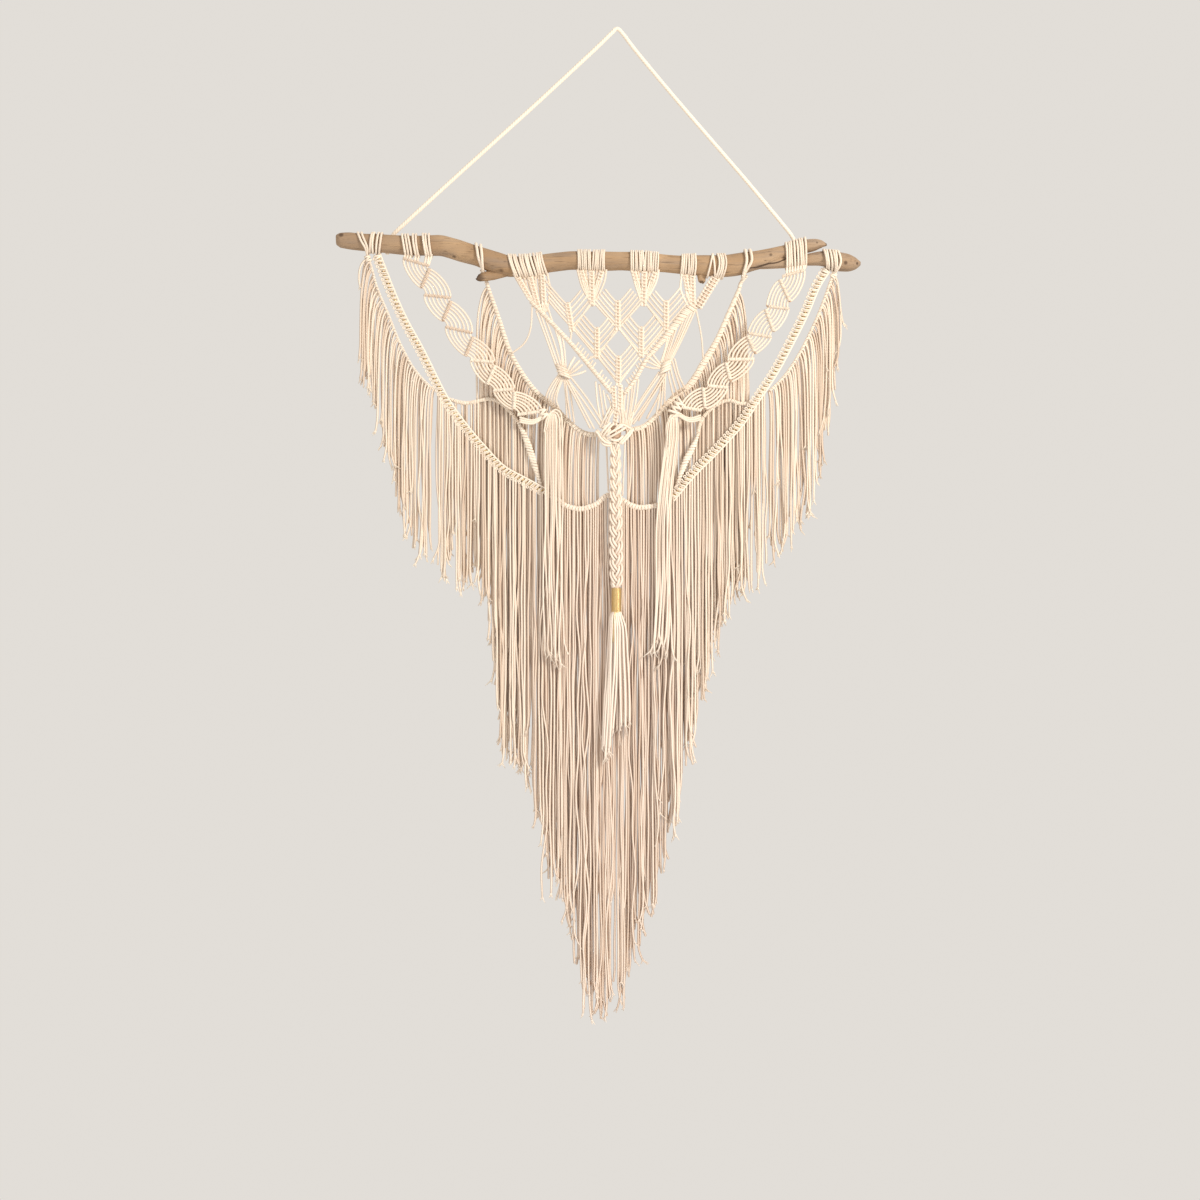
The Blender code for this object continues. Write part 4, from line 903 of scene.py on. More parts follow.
def buildGarland(plan, seed):
    piece, glint = Bundle(seed, shade=0.02), Bundle(seed + 50)
    bar = barOn(plan["route"], "planeGarland")
    fine = evenLine(bar, 1.0)
    _, side, front = crossAxes(fine, (0, 1, 0))
    # A smooth cord along the inner edge, loops across the band in pairs, and a picot outside each pair.
    piece.lay(evenLine(fine + lace["edge"] * side - lace["forward"] * front, 2.4), lace["edgeRadius"],
              shade=0.0)
    places = np.arange(2.0, lineLength(bar) - 2.0, lace["pitch"])
    for later, wide, deep, radius in lace["loops"]:
        piece.rings(bar, places + later, wide, deep, radius, np.full(len(places), plan["lean"]))
    turn = 2 * np.pi * np.arange(8)[:, None] / 8
    wide, tall, radius = lace["picot"]
    for at in np.arange(4, len(fine) - 4, lace["pitch"]).astype(int):
        middle = fine[at] - (lace["edge"] + 0.6) * side[at] - lace["forward"] * front[at]
        loop = middle + wide * np.cos(turn) * side[at] + tall * np.sin(turn) * np.cross(side[at], front[at])
        piece.lay(loop, radius, sides=4, closed=True, shade=0.0, deepen=0.3)
    # Gold thread shows in the gaps between the loops; its core is painted deep in shade, as the shadow in
    # those gaps.
    glint.lay(evenLine(fine, 4.0), 1.9, shade=0.6, deepen=0.2)
    for phase in (0.0, math.pi):
        swing = np.sin(2 * np.pi * np.arange(len(fine)) / lace["goldTurn"] + phase)[:, None]
        thread = fine + lace["goldSwing"] * swing * side + 1.1 * front * np.roll(swing, 2)
        glint.lay(evenLine(thread, 2.0), lace["goldRadius"], sides=4, shade=0.15, deepen=0.4)
    headingLoops(piece, plan["sections"], plan["loops"], plan["slide"])
    piece.knots(bar[:5], wide=5.0, deep=3.2, radius=1.6, pitch=3.0, tilt=0.2)
    lower = np.linspace(placeOfX(bar, plan["fringeFrom"]), lineLength(bar), 120)
    hangFringe(piece, pointAt(bar, lower), plan)
    piece.make(plan["name"], [plan["node"]])
    glint.make(plan["name"] + "Thread", [], goldThread, "gold_thread")


buildPair(buildGarland, garland, 13)


bottomSwag = {
    "route": ((-106.5, -667.4), (-87, -679), (-77, -687), (-55, -693), (-32, -687), (-13, -673), (7, -680),
              (19, -687), (33, -691), (52, -689), (71, -684.5)),
    "strands": 50, "behind": 46, "rearShade": (0.42, 0.78), "below": -3.0, "start": 2.0, "end": 2.0,
    "uneven": 18.0, "deepen": 2.4,
}


def buildBottomSwag():
    piece = Bundle(15, shade=0.03)
    bar = barOn(bottomSwag["route"], "planeGarland")
    piece.hitches(bar, thick=4.5, pitch=4.6, tilt=0.15, radius=1.5, deep=3.6)
    piece.shade = 0.0
    hangFringe(piece, bar, bottomSwag)
    piece.make("bottomSwag", ["bottom_swag"])


buildBottomSwag()


innerSwag = {
    "both": {"behind": 50, "below": -2.0, "start": 24.0, "lift": 60.0, "springRun": 22.0, "rise": 2.0},
    "left": {"name": "innerSwagLeft", "node": "inner_swag_left", "strands": 56, "rearShade": (0.22, 0.50),
             "spread": -14.0, "end": 12.0, "tilt": 0.35, "thick": (3.0, 3.7, 4.2, 4.4, 4.4), "pitch": 5.0,
             "head": (-197, 6.5, -345.5),
             "route": ((-191, -358), (-187, -372), (-171, -418), (-157, -461), (-139, -494), (-118, -522),
                       (-91, -544), (-68, -568), (-45, -583), (-14, -584)),
             "loops": (-203.0, -197.0), "slide": 1.0, "bulge": 2.0, "gather": (-194, -349)},
    "right": {"name": "innerSwagRight", "node": "inner_swag_right", "strands": 55, "rearShade": (0.28, 0.58),
              "spread": 13.0, "end": 5.0, "tilt": -0.35, "thick": (3.0, 4.0, 4.4, 5.8, 6.0, 4.6, 4.3, 4.2),
              "pitch": 4.8, "head": (188, 5, -354),
              "route": ((180, -364), (177, -374), (162, -409), (144, -450), (129, -475), (107, -511),
                        (84, -528), (54, -560), (35, -574), (9, -578)),
              "loops": (184.5, 191.5), "slide": -1.0, "bulge": 3.2, "gather": (182, -360)},
}


def buildInnerSwag(plan, seed):
    piece = Bundle(seed, shade=0.03)
    corners = [plan["head"]] + [(x, yarn["planeInner"], z) for x, z in plan["route"]]
    bar = smoothLine(corners, yarn["barStep"])
    piece.hitches(bar, plan["thick"], plan["pitch"], plan["tilt"], radius=1.4, deep=3.6)
    piece.shade = 0.08
    headingLoops(piece, (stickStations,), plan["loops"], plan["slide"], plan["gather"], radius=2.3,
                 bulge=plan["bulge"])
    hangFringe(piece, bar, plan)
    piece.make(plan["name"], [plan["node"]])


buildPair(buildInnerSwag, innerSwag, 16)


middleSwag = {
    "both": {"rearShade": (0.25, 0.48), "start": 2.0, "lift": 70.0},
    "left": {"name": "middleSwagLeft", "node": "middle_swag_left", "strands": 21, "behind": 12,
             "wrapFrom": -143.5, "thick": (2.4, 4.4, 5.8, 6.0, 5.4, 3.8, 2.6), "lean": 0.6,
             "route": ((-249, -532), (-219, -539), (-184, -533), (-162, -544), (-144, -567), (-133, -589),
                       (-122, -622), (-110, -662))},
    "right": {"name": "middleSwagRight", "node": "middle_swag_right", "strands": 14, "behind": 8,
              "wrapFrom": 117, "thick": (2.6, 4.8, 6.0, 5.2, 3.6, 2.4), "lean": -0.6,
              "route": ((200, -538), (180, -540), (161, -535), (141, -544), (123, -563), (115, -592),
                        (99, -625), (84, -668))},
}


def buildMiddleSwag(plan, seed):
    piece = Bundle(seed, shade=0.05)
    bar = barOn(plan["route"], "planeMiddle")
    turn = placeOfX(bar, plan["wrapFrom"])
    upper = pointAt(bar, np.linspace(0, turn, 60))
    wrapped = pointAt(bar, np.linspace(turn, lineLength(bar), 60)) - np.array([0, 3.4, 0])
    piece.hitches(upper, thick=3.4, pitch=4.8, radius=1.3)
    piece.shade = 0.0
    piece.hitches(wrapped, plan["thick"], pitch=4.4, tilt=plan["lean"], radius=1.6, deep=3.4)
    piece.shade = 0.12
    hangFringe(piece, bar, {**plan, "end": 0.7 * lineLength(wrapped)})
    piece.make(plan["name"], [plan["node"]])


buildPair(buildMiddleSwag, middleSwag, 18)


zigzagBand = {
    "both": {
        "bows": 7, "bowRadius": 1.7,    # strands from bar to bar
        "straight": (0.30, 0.16),       # how straight the bows of a fan run, by turns
        # Half thickness of the shaded bars above, by turns; those further down are bright and have the second
        "thick": (2.5, 2.9), "shaded": 6,
        "underRows": (0.0, 3.4, 6.6),   # how far the strands under the last bar sink
        "tailShades": (0.0, 0.04, 0.22, 0.0, 0.06, 0.26, 0.0, 0.16, 0.0, 0.02), "tailRadius": 1.5,
    },
    # The bars of hitches in order down each band, from end to end by turns: x, z, x, z
    "left": {"name": "zigzagBandLeft", "node": "zigzag_band_left", "sections": (stickStations,),
             "slide": 2.5, "barShade": 0.42,
             "bars": ((-309, -331, -272, -342), (-271, -346, -283, -374), (-279, -384, -240.5, -388),
                      (-240, -393, -252, -422), (-248, -430, -209.5, -439), (-208, -445, -219, -472),
                      (-212, -478, -177, -481), (-176, -486, -188, -513), (-179, -522, -148, -520),
                      (-148, -524, -149, -550), (-144, -557, -108, -552)),
             "loops": (-308.5, -304.5, -300.5, -293.0, -289.0, -278.5, -274.5, -270.5),
             "under": ((-141, -561), (-122, -565), (-106, -558)), "knot": (-110, -549, -103, -562, 5.0),
             "arch": ((-102, -579), (-99, -563), (-95, -553.5), (-89, -550), (-83, -553), (-80, -563),
                      (-79, -600)),
             "tails": (-103.5, -80.5, -105.0, -79.0), "tailTop": -556, "hem": -905, "settle": 70.0},
    "right": {"name": "zigzagBandRight", "node": "zigzag_band_right",
              "sections": (stickStations, prongStations), "slide": 1.0, "barShade": 0.16,
              "bars": ((271, -348, 239, -357), (235.5, -362, 250, -394), (248.5, -404, 216, -400),
                       (215, -405, 226.5, -437), (223, -445, 189, -439), (188.5, -443, 200, -469),
                       (198, -477, 160, -477), (157.5, -482, 164.5, -510), (160, -518, 130, -515),
                       (124.5, -518, 127.5, -549), (122, -551, 92, -546)),
              "loops": (245.0, 249.0, 253.0, 257.0, 261.0, 265.0, 269.0, 272.5),
              "under": ((121, -558), (104, -562), (86, -553)), "knot": (93, -537, 79, -556, 7.2),
              "arch": ((93, -556), (86, -557), (80, -561), (77, -572), (75, -600)),
              "tails": (71.5, 93.0, 52.5, 77.5), "tailTop": -558, "hem": -898, "settle": 110.0},
}


def bow(start, leave, end, arrive, straight):
    # The cubic from start to end that leaves and arrives square to the bars: near a circle's arc where
    # straight is 0.
    t = np.linspace(0, 1, 10)[:, None]
    reach = 0.36 * np.linalg.norm(end - start) * (1 - straight)
    one, two = start + reach * leave, end + reach * arrive
    return (1 - t) ** 3 * start + 3 * t * (1 - t) ** 2 * one + 3 * t ** 2 * (1 - t) * two + t ** 3 * end


def squareTo(bar, way):
    # The unit direction square to a bar that points to the same side as way.
    return unit(way - bar * (way @ bar) / (bar @ bar))


def buildTails(piece, plan):
    # Strands that fall from the band's end: two arch over the top, the rest fan out from under the arch.
    y, shades = yarn["planeFront"], plan["tailShades"]
    first, last, footFirst, footLast = plan["tails"]
    middle = (first + last) / 2
    for number, shade in enumerate(shades):
        share = number / (len(shades) - 1)
        x, footX = first + (last - first) * share, footFirst + (footLast - footFirst) * share
        top = plan["tailTop"] + 2.5 * math.sin(math.pi * share)
        foot = plan["hem"] + piece.random.normal() * 9
        depth = 0.8 * (number % 2)
        inside = len(shades) - 1 - number
        if inside < 2:
            arch = np.array([(archX, y - 2.0, archZ) for archX, archZ in plan["arch"]])
            start = smoothLine(arch - np.array((3.4, 0.0, 3.0)) * inside, 3.0)
            top, x = start[-1, 2], start[-1, 0]
        else:
            start = smoothLine(((middle + 0.45 * (x - middle), y - 0.5, top), (x, y - 1.0 + depth, top - 16),
                                (x, y + depth, top - 34)), 3.0)
            top -= 34
        t = np.arange(fall["step"], top - foot, fall["step"])
        settle = 1 - np.exp(-t / plan["settle"])
        down = np.clip(t / 180, 0, 1)
        tip = np.clip(1 + (t - top + foot) / 22, 0, 1) ** fall["tipPower"]
        phase = piece.random.uniform(0, 6.28)
        aside = 2.0 * down * np.sin(t / 37 + phase) + tip * piece.random.normal() * 4
        back = depth + down * (np.cos(t / 41 + phase) - 1.5)
        line = np.vstack([start, np.stack([x + (footX - x) * settle + aside, y + back, top - t], 1)])
        piece.lay(line, plan["tailRadius"] * piece.random.uniform(0.9, 1.1), shade=shade, deepen=1.5)
        piece.fray(line, shade)


def buildBows(piece, plan, bars):
    # Strands that bow from each bar to the next, side by side.
    for i, ((farOne, nearOne), (nearTwo, farTwo)) in enumerate(zip(bars[:-1], bars[1:])):
        one, two = farOne - nearOne, farTwo - nearTwo
        for number in range(plan["bows"]):
            share = (number + 0.55) / (plan["bows"] - 0.35)
            depth = np.array([0, 0.5 * (number % 2), 0])
            straight = plan["straight"][i % 2] + piece.random.uniform(-0.05, 0.05)
            curve = bow(nearOne + share * one + depth, squareTo(one, two), nearTwo + share * two + depth,
                        squareTo(two, one), straight)
            piece.lay(evenLine(curve, yarn["knotStep"]), plan["bowRadius"],
                      shade=0.05 + 0.13 * piece.random.uniform(), deepen=1.0)


def buildZigzagBand(plan, seed):
    piece = Bundle(seed, shade=0.04)
    y = yarn["planeFront"]
    bars = [np.array(((x1, y, z1), (x2, y, z2)), float) for x1, z1, x2, z2 in plan["bars"]]
    buildBows(piece, plan, bars)
    for number, bar in enumerate(bars):
        lower = number >= plan["shaded"]
        piece.shade = 0.0 if lower else plan["barShade"]
        piece.hitches(bar - (0, 1.2, 0), plan["thick"][1 if lower else number % 2], pitch=4.2, radius=1.15)
    piece.shade = 0.04
    headingLoops(piece, plan["sections"], plan["loops"], plan["slide"])
    # From each loop a strand runs down to the first bar.
    start, end = bars[0]
    for x in plan["loops"]:
        low = loopRound(plan["sections"], x, yarn["radius"], plan["slide"])[:, 2].min()
        foot = start + (end - start) * np.clip((x - start[0]) / (end[0] - start[0]), 0.02, 0.98)
        piece.lay(smoothLine(((x + plan["slide"], -6.0, low + 3.0), foot), yarn["knotStep"]))
    for lower in plan["underRows"]:
        route = [(x, y - 0.6, z - lower * (1 - k / 4)) for k, (x, z) in enumerate(plan["under"])]
        piece.lay(smoothLine(route, yarn["knotStep"]), plan["bowRadius"])
    x1, z1, x2, z2, half = plan["knot"]
    piece.knots(np.array([(x1, y, z1), (x2, y - 0.5, z2)], float), half, deep=4.0, radius=1.9, pitch=3.6,
                tilt=0.35)
    buildTails(piece, plan)
    piece.make(plan["name"], [plan["node"]])


buildPair(buildZigzagBand, zigzagBand, 21)


diamondPanel = {
    "bones": 5,             # slanting strands on each side of a column
    "slope": 1.15,
    # Radii of the slanting strands, the single ones, those that a column ends in and those between the
    # columns
    "boneRadius": 1.6, "singleRadius": 1.7, "restRadius": 1.55, "betweenRadius": 2.1,
    "columnHalf": 4.8, "columnPitch": 5.0, "taperPitch": 5.2, "middlePitch": 5.4,
    # Square-knot columns: top x, z, foot x, z
    "sinnets": ((-72, -397, -65, -435), (1, -394, 1, -433), (71, -394, 71, -435), (-29, -433, -29, -474),
                (35, -432, 35, -473), (2, -474, 2, -513)),
    # The strands that the slanting ones start from, left and right of each column
    "carriers": (((-100, -385, -92, -432), (-52, -378, -36, -394)),
                 ((-20, -378, -36, -394), (23, -378, 38, -394)),
                 ((55, -378, 38, -394), (98, -385, 108, -402)),
                 ((-36, -394, -65, -435), (-36, -394, 1, -433)),
                 ((38, -394, 1, -433), (38, -394, 71, -435)), ((1, -433, -29, -474), (1, -433, 35, -473))),
    # Single strands between the columns: x, z at both ends
    "singles": ((-36, -392, -65, -435), (-36, -392, 1, -433), (38, -392, 1, -433), (38, -392, 71, -435),
                (-65, -431, -29, -474), (1, -430, -29, -474), (1, -430, 35, -473), (71, -431, 35, -473),
                (-29, -470, 2, -513), (35, -469, 2, -513), (-65, -431, -68, -452), (71, -431, 73, -440),
                (-29, -470, -45, -480), (35, -469, 48, -469), (-106, -384, -92, -428),
                (102, -388, 108, -402)),
    # Knotted columns under the headings: x at the heading, x and z at the foot, half width, and how much of
    # the length is knotted before three strands go on alone
    "tapers": ((-144, -121, -397, 4.9, 0.8), (-126, -112, -408, 5.0, 1), (-108, -105, -410, 4.7, 0.8),
               (-52, -38, -396, 4.6, 0.36), (-37, -36, -400, 5.0, 1), (-22, -34, -392, 4.6, 0.36),
               (24, 36, -396, 4.6, 0.36), (39.5, 38.5, -400, 5.0, 1), (55, 41, -392, 4.6, 0.36),
               (98, 105, -396, 4.6, 0.7), (109, 110, -404, 4.8, 1), (143, 116, -402, 7.4, 1)),
    # Strands down both sides of the knotted columns: x, z at the heading, half way and at the foot
    "fillers": ((-151, -351, -135, -378, -116, -403), (-101, -352, -97, -379, -102, -408),
                (-57.5, -347, -51, -371, -40, -392), (-15.5, -347, -19, -366, -31, -393),
                (20.5, -347, 27, -371, 35, -392), (60.5, -347, 56, -366, 42, -393),
                (94, -351, 92, -376, 102, -400), (151, -355, 134, -380, 119, -401)),
    # The same between the columns, where they lie further back in the shade
    "between": ((-136, -352, -128, -380, -114, -404), (-131, -352, -124, -378, -113, -404),
                (-119, -352, -116, -380, -110, -406), (-114, -352, -111, -380, -107, -406),
                (-46, -347, -42, -366, -38, -388), (-29, -347, -32, -366, -35, -388),
                (30, -347, 33, -366, 36, -388), (48, -347, 44, -366, 40, -388),
                (103, -352, 106, -376, 108, -400)),
    # The slanting edges: x, z, and half thickness along them
    "leftEdge": ((-124, -394), (-99, -420), (-67, -454), (-38, -489), (-7, -526)),
    "rightEdge": ((111, -400), (96, -412), (78, -435), (64, -452), (42, -478), (27, -505), (9, -529)),
    "leftThick": 3.8, "rightThick": (7.2, 7.0, 5.4, 4.2, 3.6, 3.3),
    # Where the edges meet: x, z at the top, x, z at the foot, half width
    "middleColumns": ((-5.0, -516, -3.5, -549, 4.2), (4.5, -514, 4.0, -550, 4.2),
                      (0, -548, -3.5, -573, 4.4)),
    # Where short strands run into the edges: edge, side, first and last place as shares of its length
    "tufts": (("leftEdge", 1, 0.52, 0.74), ("leftEdge", 1, 0.82, 0.98), ("rightEdge", -1, 0.34, 0.60),
              ("rightEdge", -1, 0.68, 0.92)),
    "tuftGap": 0.031, "tuftRadius": 1.5, "tuftReach": (6.0, 1.2, 9.0),
    # First and last place, spacing, slant, bulge: headings of closely set loops
    "headings": ((-152.0, -140.5, 3.6, 6.0, -1.5), (-136.5, -121.0, 3.7, 5.0, -1.5),
                 (-117.0, -105.0, 3.7, 4.0, -1.0), (-56.2, -38.5, 2.85, 0.6, 0.0),
                 (-35.0, -17.5, 2.85, -0.6, 0.0), (20.8, 38.5, 2.85, 0.6, 0.0),
                 (41.5, 59.2, 2.85, -0.6, 0.0), (93.5, 114.0, 3.2, -1.0, 0.5),
                 (134.4, 134.4, 3.2, -4.2, 1.0), (140.0, 140.0, 3.2, 2.2, 1.5),
                 (144.0, 153.6, 3.1, -1.2, 3.4)),
}
gathers = {
    "strandRadius": 1.55, "loneRadius": 1.4,
    "tieRadius": 2.1, "tieDeep": 4.8, "tiePitch": 4.2,
    # How many strands, and the routes of the first and the last of them, x, y, z: the rest lie evenly
    # between
    "fans": (
        (3, ((-117, -8, -407), (-101, -9, -450), (-87, -9, -490)),
         ((-104, -8, -417), (-92, -9, -452), (-80, -9, -490))),
        (3, ((-90, -8, -431), (-83, -9, -460), (-79, -9, -490)),
         ((-80, -8, -441), (-76, -9, -463), (-74, -9, -490))),
        (5, ((-84, -8, -499), (-94, -6, -512), (-102, -2, -527), (-103, 5, -537)),
         ((-78, -8, -504), (-85, -6, -520), (-88, -2, -535), (-84, 5, -548))),
        (3, ((-77, -8, -504), (-75, -5, -530), (-73, 5, -561)),
         ((-73, -8, -503), (-68, -5, -528), (-62, 5, -568))),
        (2, ((-76, -8, -501), (-50, -9.5, -536), (-25, -8, -572)),
         ((-71, -8, -498), (-45, -9.5, -533), (-20, -8, -570))),
        (2, ((-75, -8, -506), (-58, -9, -540), (-39, -3, -576)),
         ((-72, -8, -505), (-52, -9, -540), (-33, -3, -577))),
        (2, ((-31, -6, -509), (-28, -6.5, -540), (-22, -7, -572)),
         ((-26, -6, -513), (-23, -6.5, -540), (-18, -7, -571))),
        (2, ((-20, -6, -522), (-16, -7, -540), (-13, -8, -560)),
         ((-15, -6, -527), (-11, -7, -540), (-9, -8, -552))),
        (4, ((114, -8, -404), (95, -9, -446), (78, -9, -480)),
         ((99, -8, -412), (86, -9, -446), (72, -9, -480))),
        (4, ((90, -8, -420), (80, -9, -450), (70, -9, -482)),
         ((74, -8, -440), (69, -9, -462), (63, -9, -482))),
        (4, ((61, -8, -495), (36, -9.5, -532), (12, -8, -571)),
         ((71, -8, -499), (49, -9, -535), (23, -7, -571))),
        (2, ((65, -5, -500), (52, -3, -530), (31, 3, -565)), ((70, -5, -500), (60, -3, -530),
                                                              (43, 3, -562))),
        (3, ((65, -8, -497), (62, -5, -520), (57, 5, -556)), ((70, -8, -497), (70, -5, -520),
                                                              (69, 5, -541))),
        (4, ((72, -9, -484), (77, -7, -505), (82, 5, -530)), ((83, -8, -476), (90, -6, -500),
                                                              (99, 5, -519))),
        (6, ((8, -8.5, -521), (7, -9.5, -546), (7, -9, -574)),
         ((31, -8, -506), (27, -9, -536), (19, -8, -574))),
        (3, ((-9, -9, -545), (-16, -10, -558), (-25, -7, -576)),
         ((-3, -9, -549), (-9, -10.5, -560), (-16, -8, -576))),
        (3, ((2, -9.5, -549), (4, -10.5, -560), (4, -9, -574)),
         ((9, -9, -543), (12, -10, -556), (15, -8, -574))),
    ),
    # Short bows that stand out from the ties: x, y, z at three places, and the radius at the middle
    "petals": (
        ((-73, -9, -497), (-68, -12, -486), (-61, -11, -474), 2.3),
        ((-72, -9, -499), (-63, -12.5, -489), (-54, -11, -479), 2.3),
        ((-72, -9, -500), (-61, -12, -494), (-50, -11, -485), 2.1),
        ((-72, -9, -502), (-58, -11, -499), (-45, -10, -494), 1.9),
        ((65, -9, -487), (57, -11, -478), (48, -10, -465), 1.9),
        ((64, -9, -488), (54, -11, -481), (43, -10, -471), 1.9),
        ((64, -9, -489), (53, -11, -485), (41, -10, -479), 1.8),
        ((64, -9, -490), (51, -11, -490), (39, -10, -487), 1.7),
    ),
    # The ties: x, z at the top and the foot, half width, lean
    "ties": ((-82, -487, -76, -503, 6.4, 0.95), (72, -480, 68, -499, 6.2, -0.8)),
    # Single strands that leave the panel: x, y, z
    "loneStrands": (
        ((-123, -8, -400), (-125, -5.0, -431), (-134, 1.0, -452), (-153, 5.6, -467)),
        ((113, -8, -399), (122, -2.0, -442), (125, 5.6, -474)),
        ((-16, -1.0, -586), (-12.5, 0.0, -667.5)),
        ((12, -1.0, -586), (8, 0.0, -674)),
    ),
}


def meetCarrier(foot, slope, carrier):
    # Where a line up from foot, running slope[0] across for slope[1] up, meets the carrier's line.
    x1, z1, x2, z2 = carrier
    run, rise = slope
    base = run * (z2 - z1) - rise * (x2 - x1)
    t = ((x1 - foot[0]) * (z2 - z1) - (z1 - foot[1]) * (x2 - x1)) / base
    return foot[0] + run * t, foot[1] + rise * t


def buildSinnets(piece):
    # Columns of square knots with strands that slant up from both sides to the next carrier.
    plan, y = diamondPanel, yarn["planeFront"]
    for (x1, z1, x2, z2), carriers in zip(plan["sinnets"], plan["carriers"]):
        column = np.array([(x1, y - 0.8, z1 + 2), (x2, y - 0.8, z2 - 2)], float)
        piece.ladder(column, plan["columnHalf"], plan["columnPitch"])
        for way, carrier in zip((-1, 1), carriers):
            for number in range(plan["bones"]):
                share = (number + 0.15) / plan["bones"]
                foot = (x1 + (x2 - x1) * share + way * 1.5, z1 + (z2 - z1) * share)
                top = meetCarrier(foot, (way, plan["slope"]), carrier)
                depth = y + 0.9 * (number % 2) - 0.4
                middle = ((foot[0] + top[0]) / 2, depth - 0.6, (foot[1] + top[1]) / 2 - 0.8)
                line = smoothLine(((foot[0], depth, foot[1]), middle, (top[0], depth, top[1])),
                                  yarn["knotStep"])
                piece.lay(line, plan["boneRadius"], deepen=1.15)
    for number, (x1, z1, x2, z2) in enumerate(plan["singles"]):
        depth = y + 0.5 * (number % 3) - 0.8
        line = evenLine(np.array([(x1, depth, z1), (x2, depth, z2)], float), yarn["knotStep"])
        piece.lay(line, plan["singleRadius"])


def buildColumns(piece):
    # The knotted columns under the headings, the strands beside and between them, and where the two edges
    # meet.
    plan, y, step = diamondPanel, yarn["planeFront"], yarn["knotStep"]
    for x1, x2, z2, half, knotted in plan["tapers"]:
        top = stickOutline(stickStations, x1)[:, 2].min() - 1.5
        route = smoothLine(((x1, -6.0, top), ((x1 + x2) / 2, y - 0.5, (top + z2) / 2), (x2, y, z2)),
                           yarn["barStep"])
        length = lineLength(route)
        piece.ladder(pointAt(route, np.linspace(0, knotted * length, 24)), half, plan["taperPitch"])
        if knotted < 1:
            rest = pointAt(route, np.linspace(knotted * length - 2.0, length, 8))
            share = np.linspace(1, 0.3, 8)[:, None]
            for way in (-1, 0, 1):
                piece.lay(rest + way * 3.1 * share * np.array([1.0, 0, 0]), plan["restRadius"])
    for number, (x1, z1, x2, z2, x3, z3) in enumerate(plan["fillers"]):
        depth = y + 0.8 * (number % 2)
        piece.lay(smoothLine(((x1, -6.0, z1), (x2, depth, z2), (x3, depth, z3)), step))
    for x1, z1, x2, z2, x3, z3 in plan["between"]:
        line = smoothLine(((x1, -4.0, z1), (x2, y + 2.4, z2), (x3, y + 2.4, z3)), step)
        piece.lay(line, plan["betweenRadius"], shade=0.3)
    for x, z, footX, footZ, half in plan["middleColumns"]:
        line = smoothLine(((x, y - 1.5, z), (footX, y - 2.0, footZ)), yarn["barStep"])
        piece.ladder(line, half, plan["middlePitch"], bead=2.1)


def buildEdges(piece):
    # The panel's two slanting edges, with short strands that run into their upper sides.
    plan = diamondPanel
    edges = {name: barOn(plan[name], "planeEdge") for name in ("leftEdge", "rightEdge")}
    piece.hitches(edges["leftEdge"], plan["leftThick"], pitch=5.0, tilt=0.35, radius=1.6)
    piece.hitches(edges["rightEdge"], plan["rightThick"], pitch=5.6, tilt=-0.45, radius=1.7, deep=3.8)
    across, back, up = plan["tuftReach"]
    for name, way, first, last in plan["tufts"]:
        edge = edges[name]
        for share in np.arange(first, last, plan["tuftGap"]):
            foot = pointAt(edge, share * lineLength(edge))
            tip = foot + np.array([way * across, back, up]) * piece.random.uniform(0.75, 1.1)
            piece.lay(evenLine(np.array([foot, tip]), yarn["knotStep"]), plan["tuftRadius"])


def buildGathers(piece):
    # Strands drawn together and tied at two places, that fan out again below.
    y, step = yarn["planeFront"], yarn["knotStep"]
    for count, first, last in gathers["fans"]:
        for share in np.arange(count) / (count - 1):
            route = np.array(first, float) * (1 - share) + np.array(last, float) * share
            route[1, :2] += piece.random.normal(size=2) * (0.9, 0.5)
            piece.lay(smoothLine(route, step), gathers["strandRadius"], deepen=1.25)
    for *corners, wide in gathers["petals"]:
        line = smoothLine(corners, step)
        piece.lay(line, np.interp(np.linspace(0, 1, len(line)), (0, 0.6, 1), (1.3, wide, 0.8 * wide)))
    for x1, z1, x2, z2, half, lean in gathers["ties"]:
        tie = np.array([(x1, y - 1.0, z1), (x2, y - 1.0, z2)], float)
        places = np.arange(2.0, lineLength(tie) - 1.0, gathers["tiePitch"])
        piece.rings(tie, places, half, gathers["tieDeep"], gathers["tieRadius"], np.full(len(places), lean))
    for corners in gathers["loneStrands"]:
        piece.lay(smoothLine(corners, step), gathers["loneRadius"])


def buildDiamondPanel():
    piece = Bundle(23, shade=0.12)
    buildSinnets(piece)
    buildColumns(piece)
    buildEdges(piece)
    for first, last, gap, slide, bulge in diamondPanel["headings"]:
        headingLoops(piece, (stickStations,), np.arange(first, last + 0.5, gap), slide, radius=0.5 * gap,
                     bulge=bulge)
    buildGathers(piece)
    buildCentreKnot(piece)
    piece.make("diamondPanel", ["diamond_panel"])


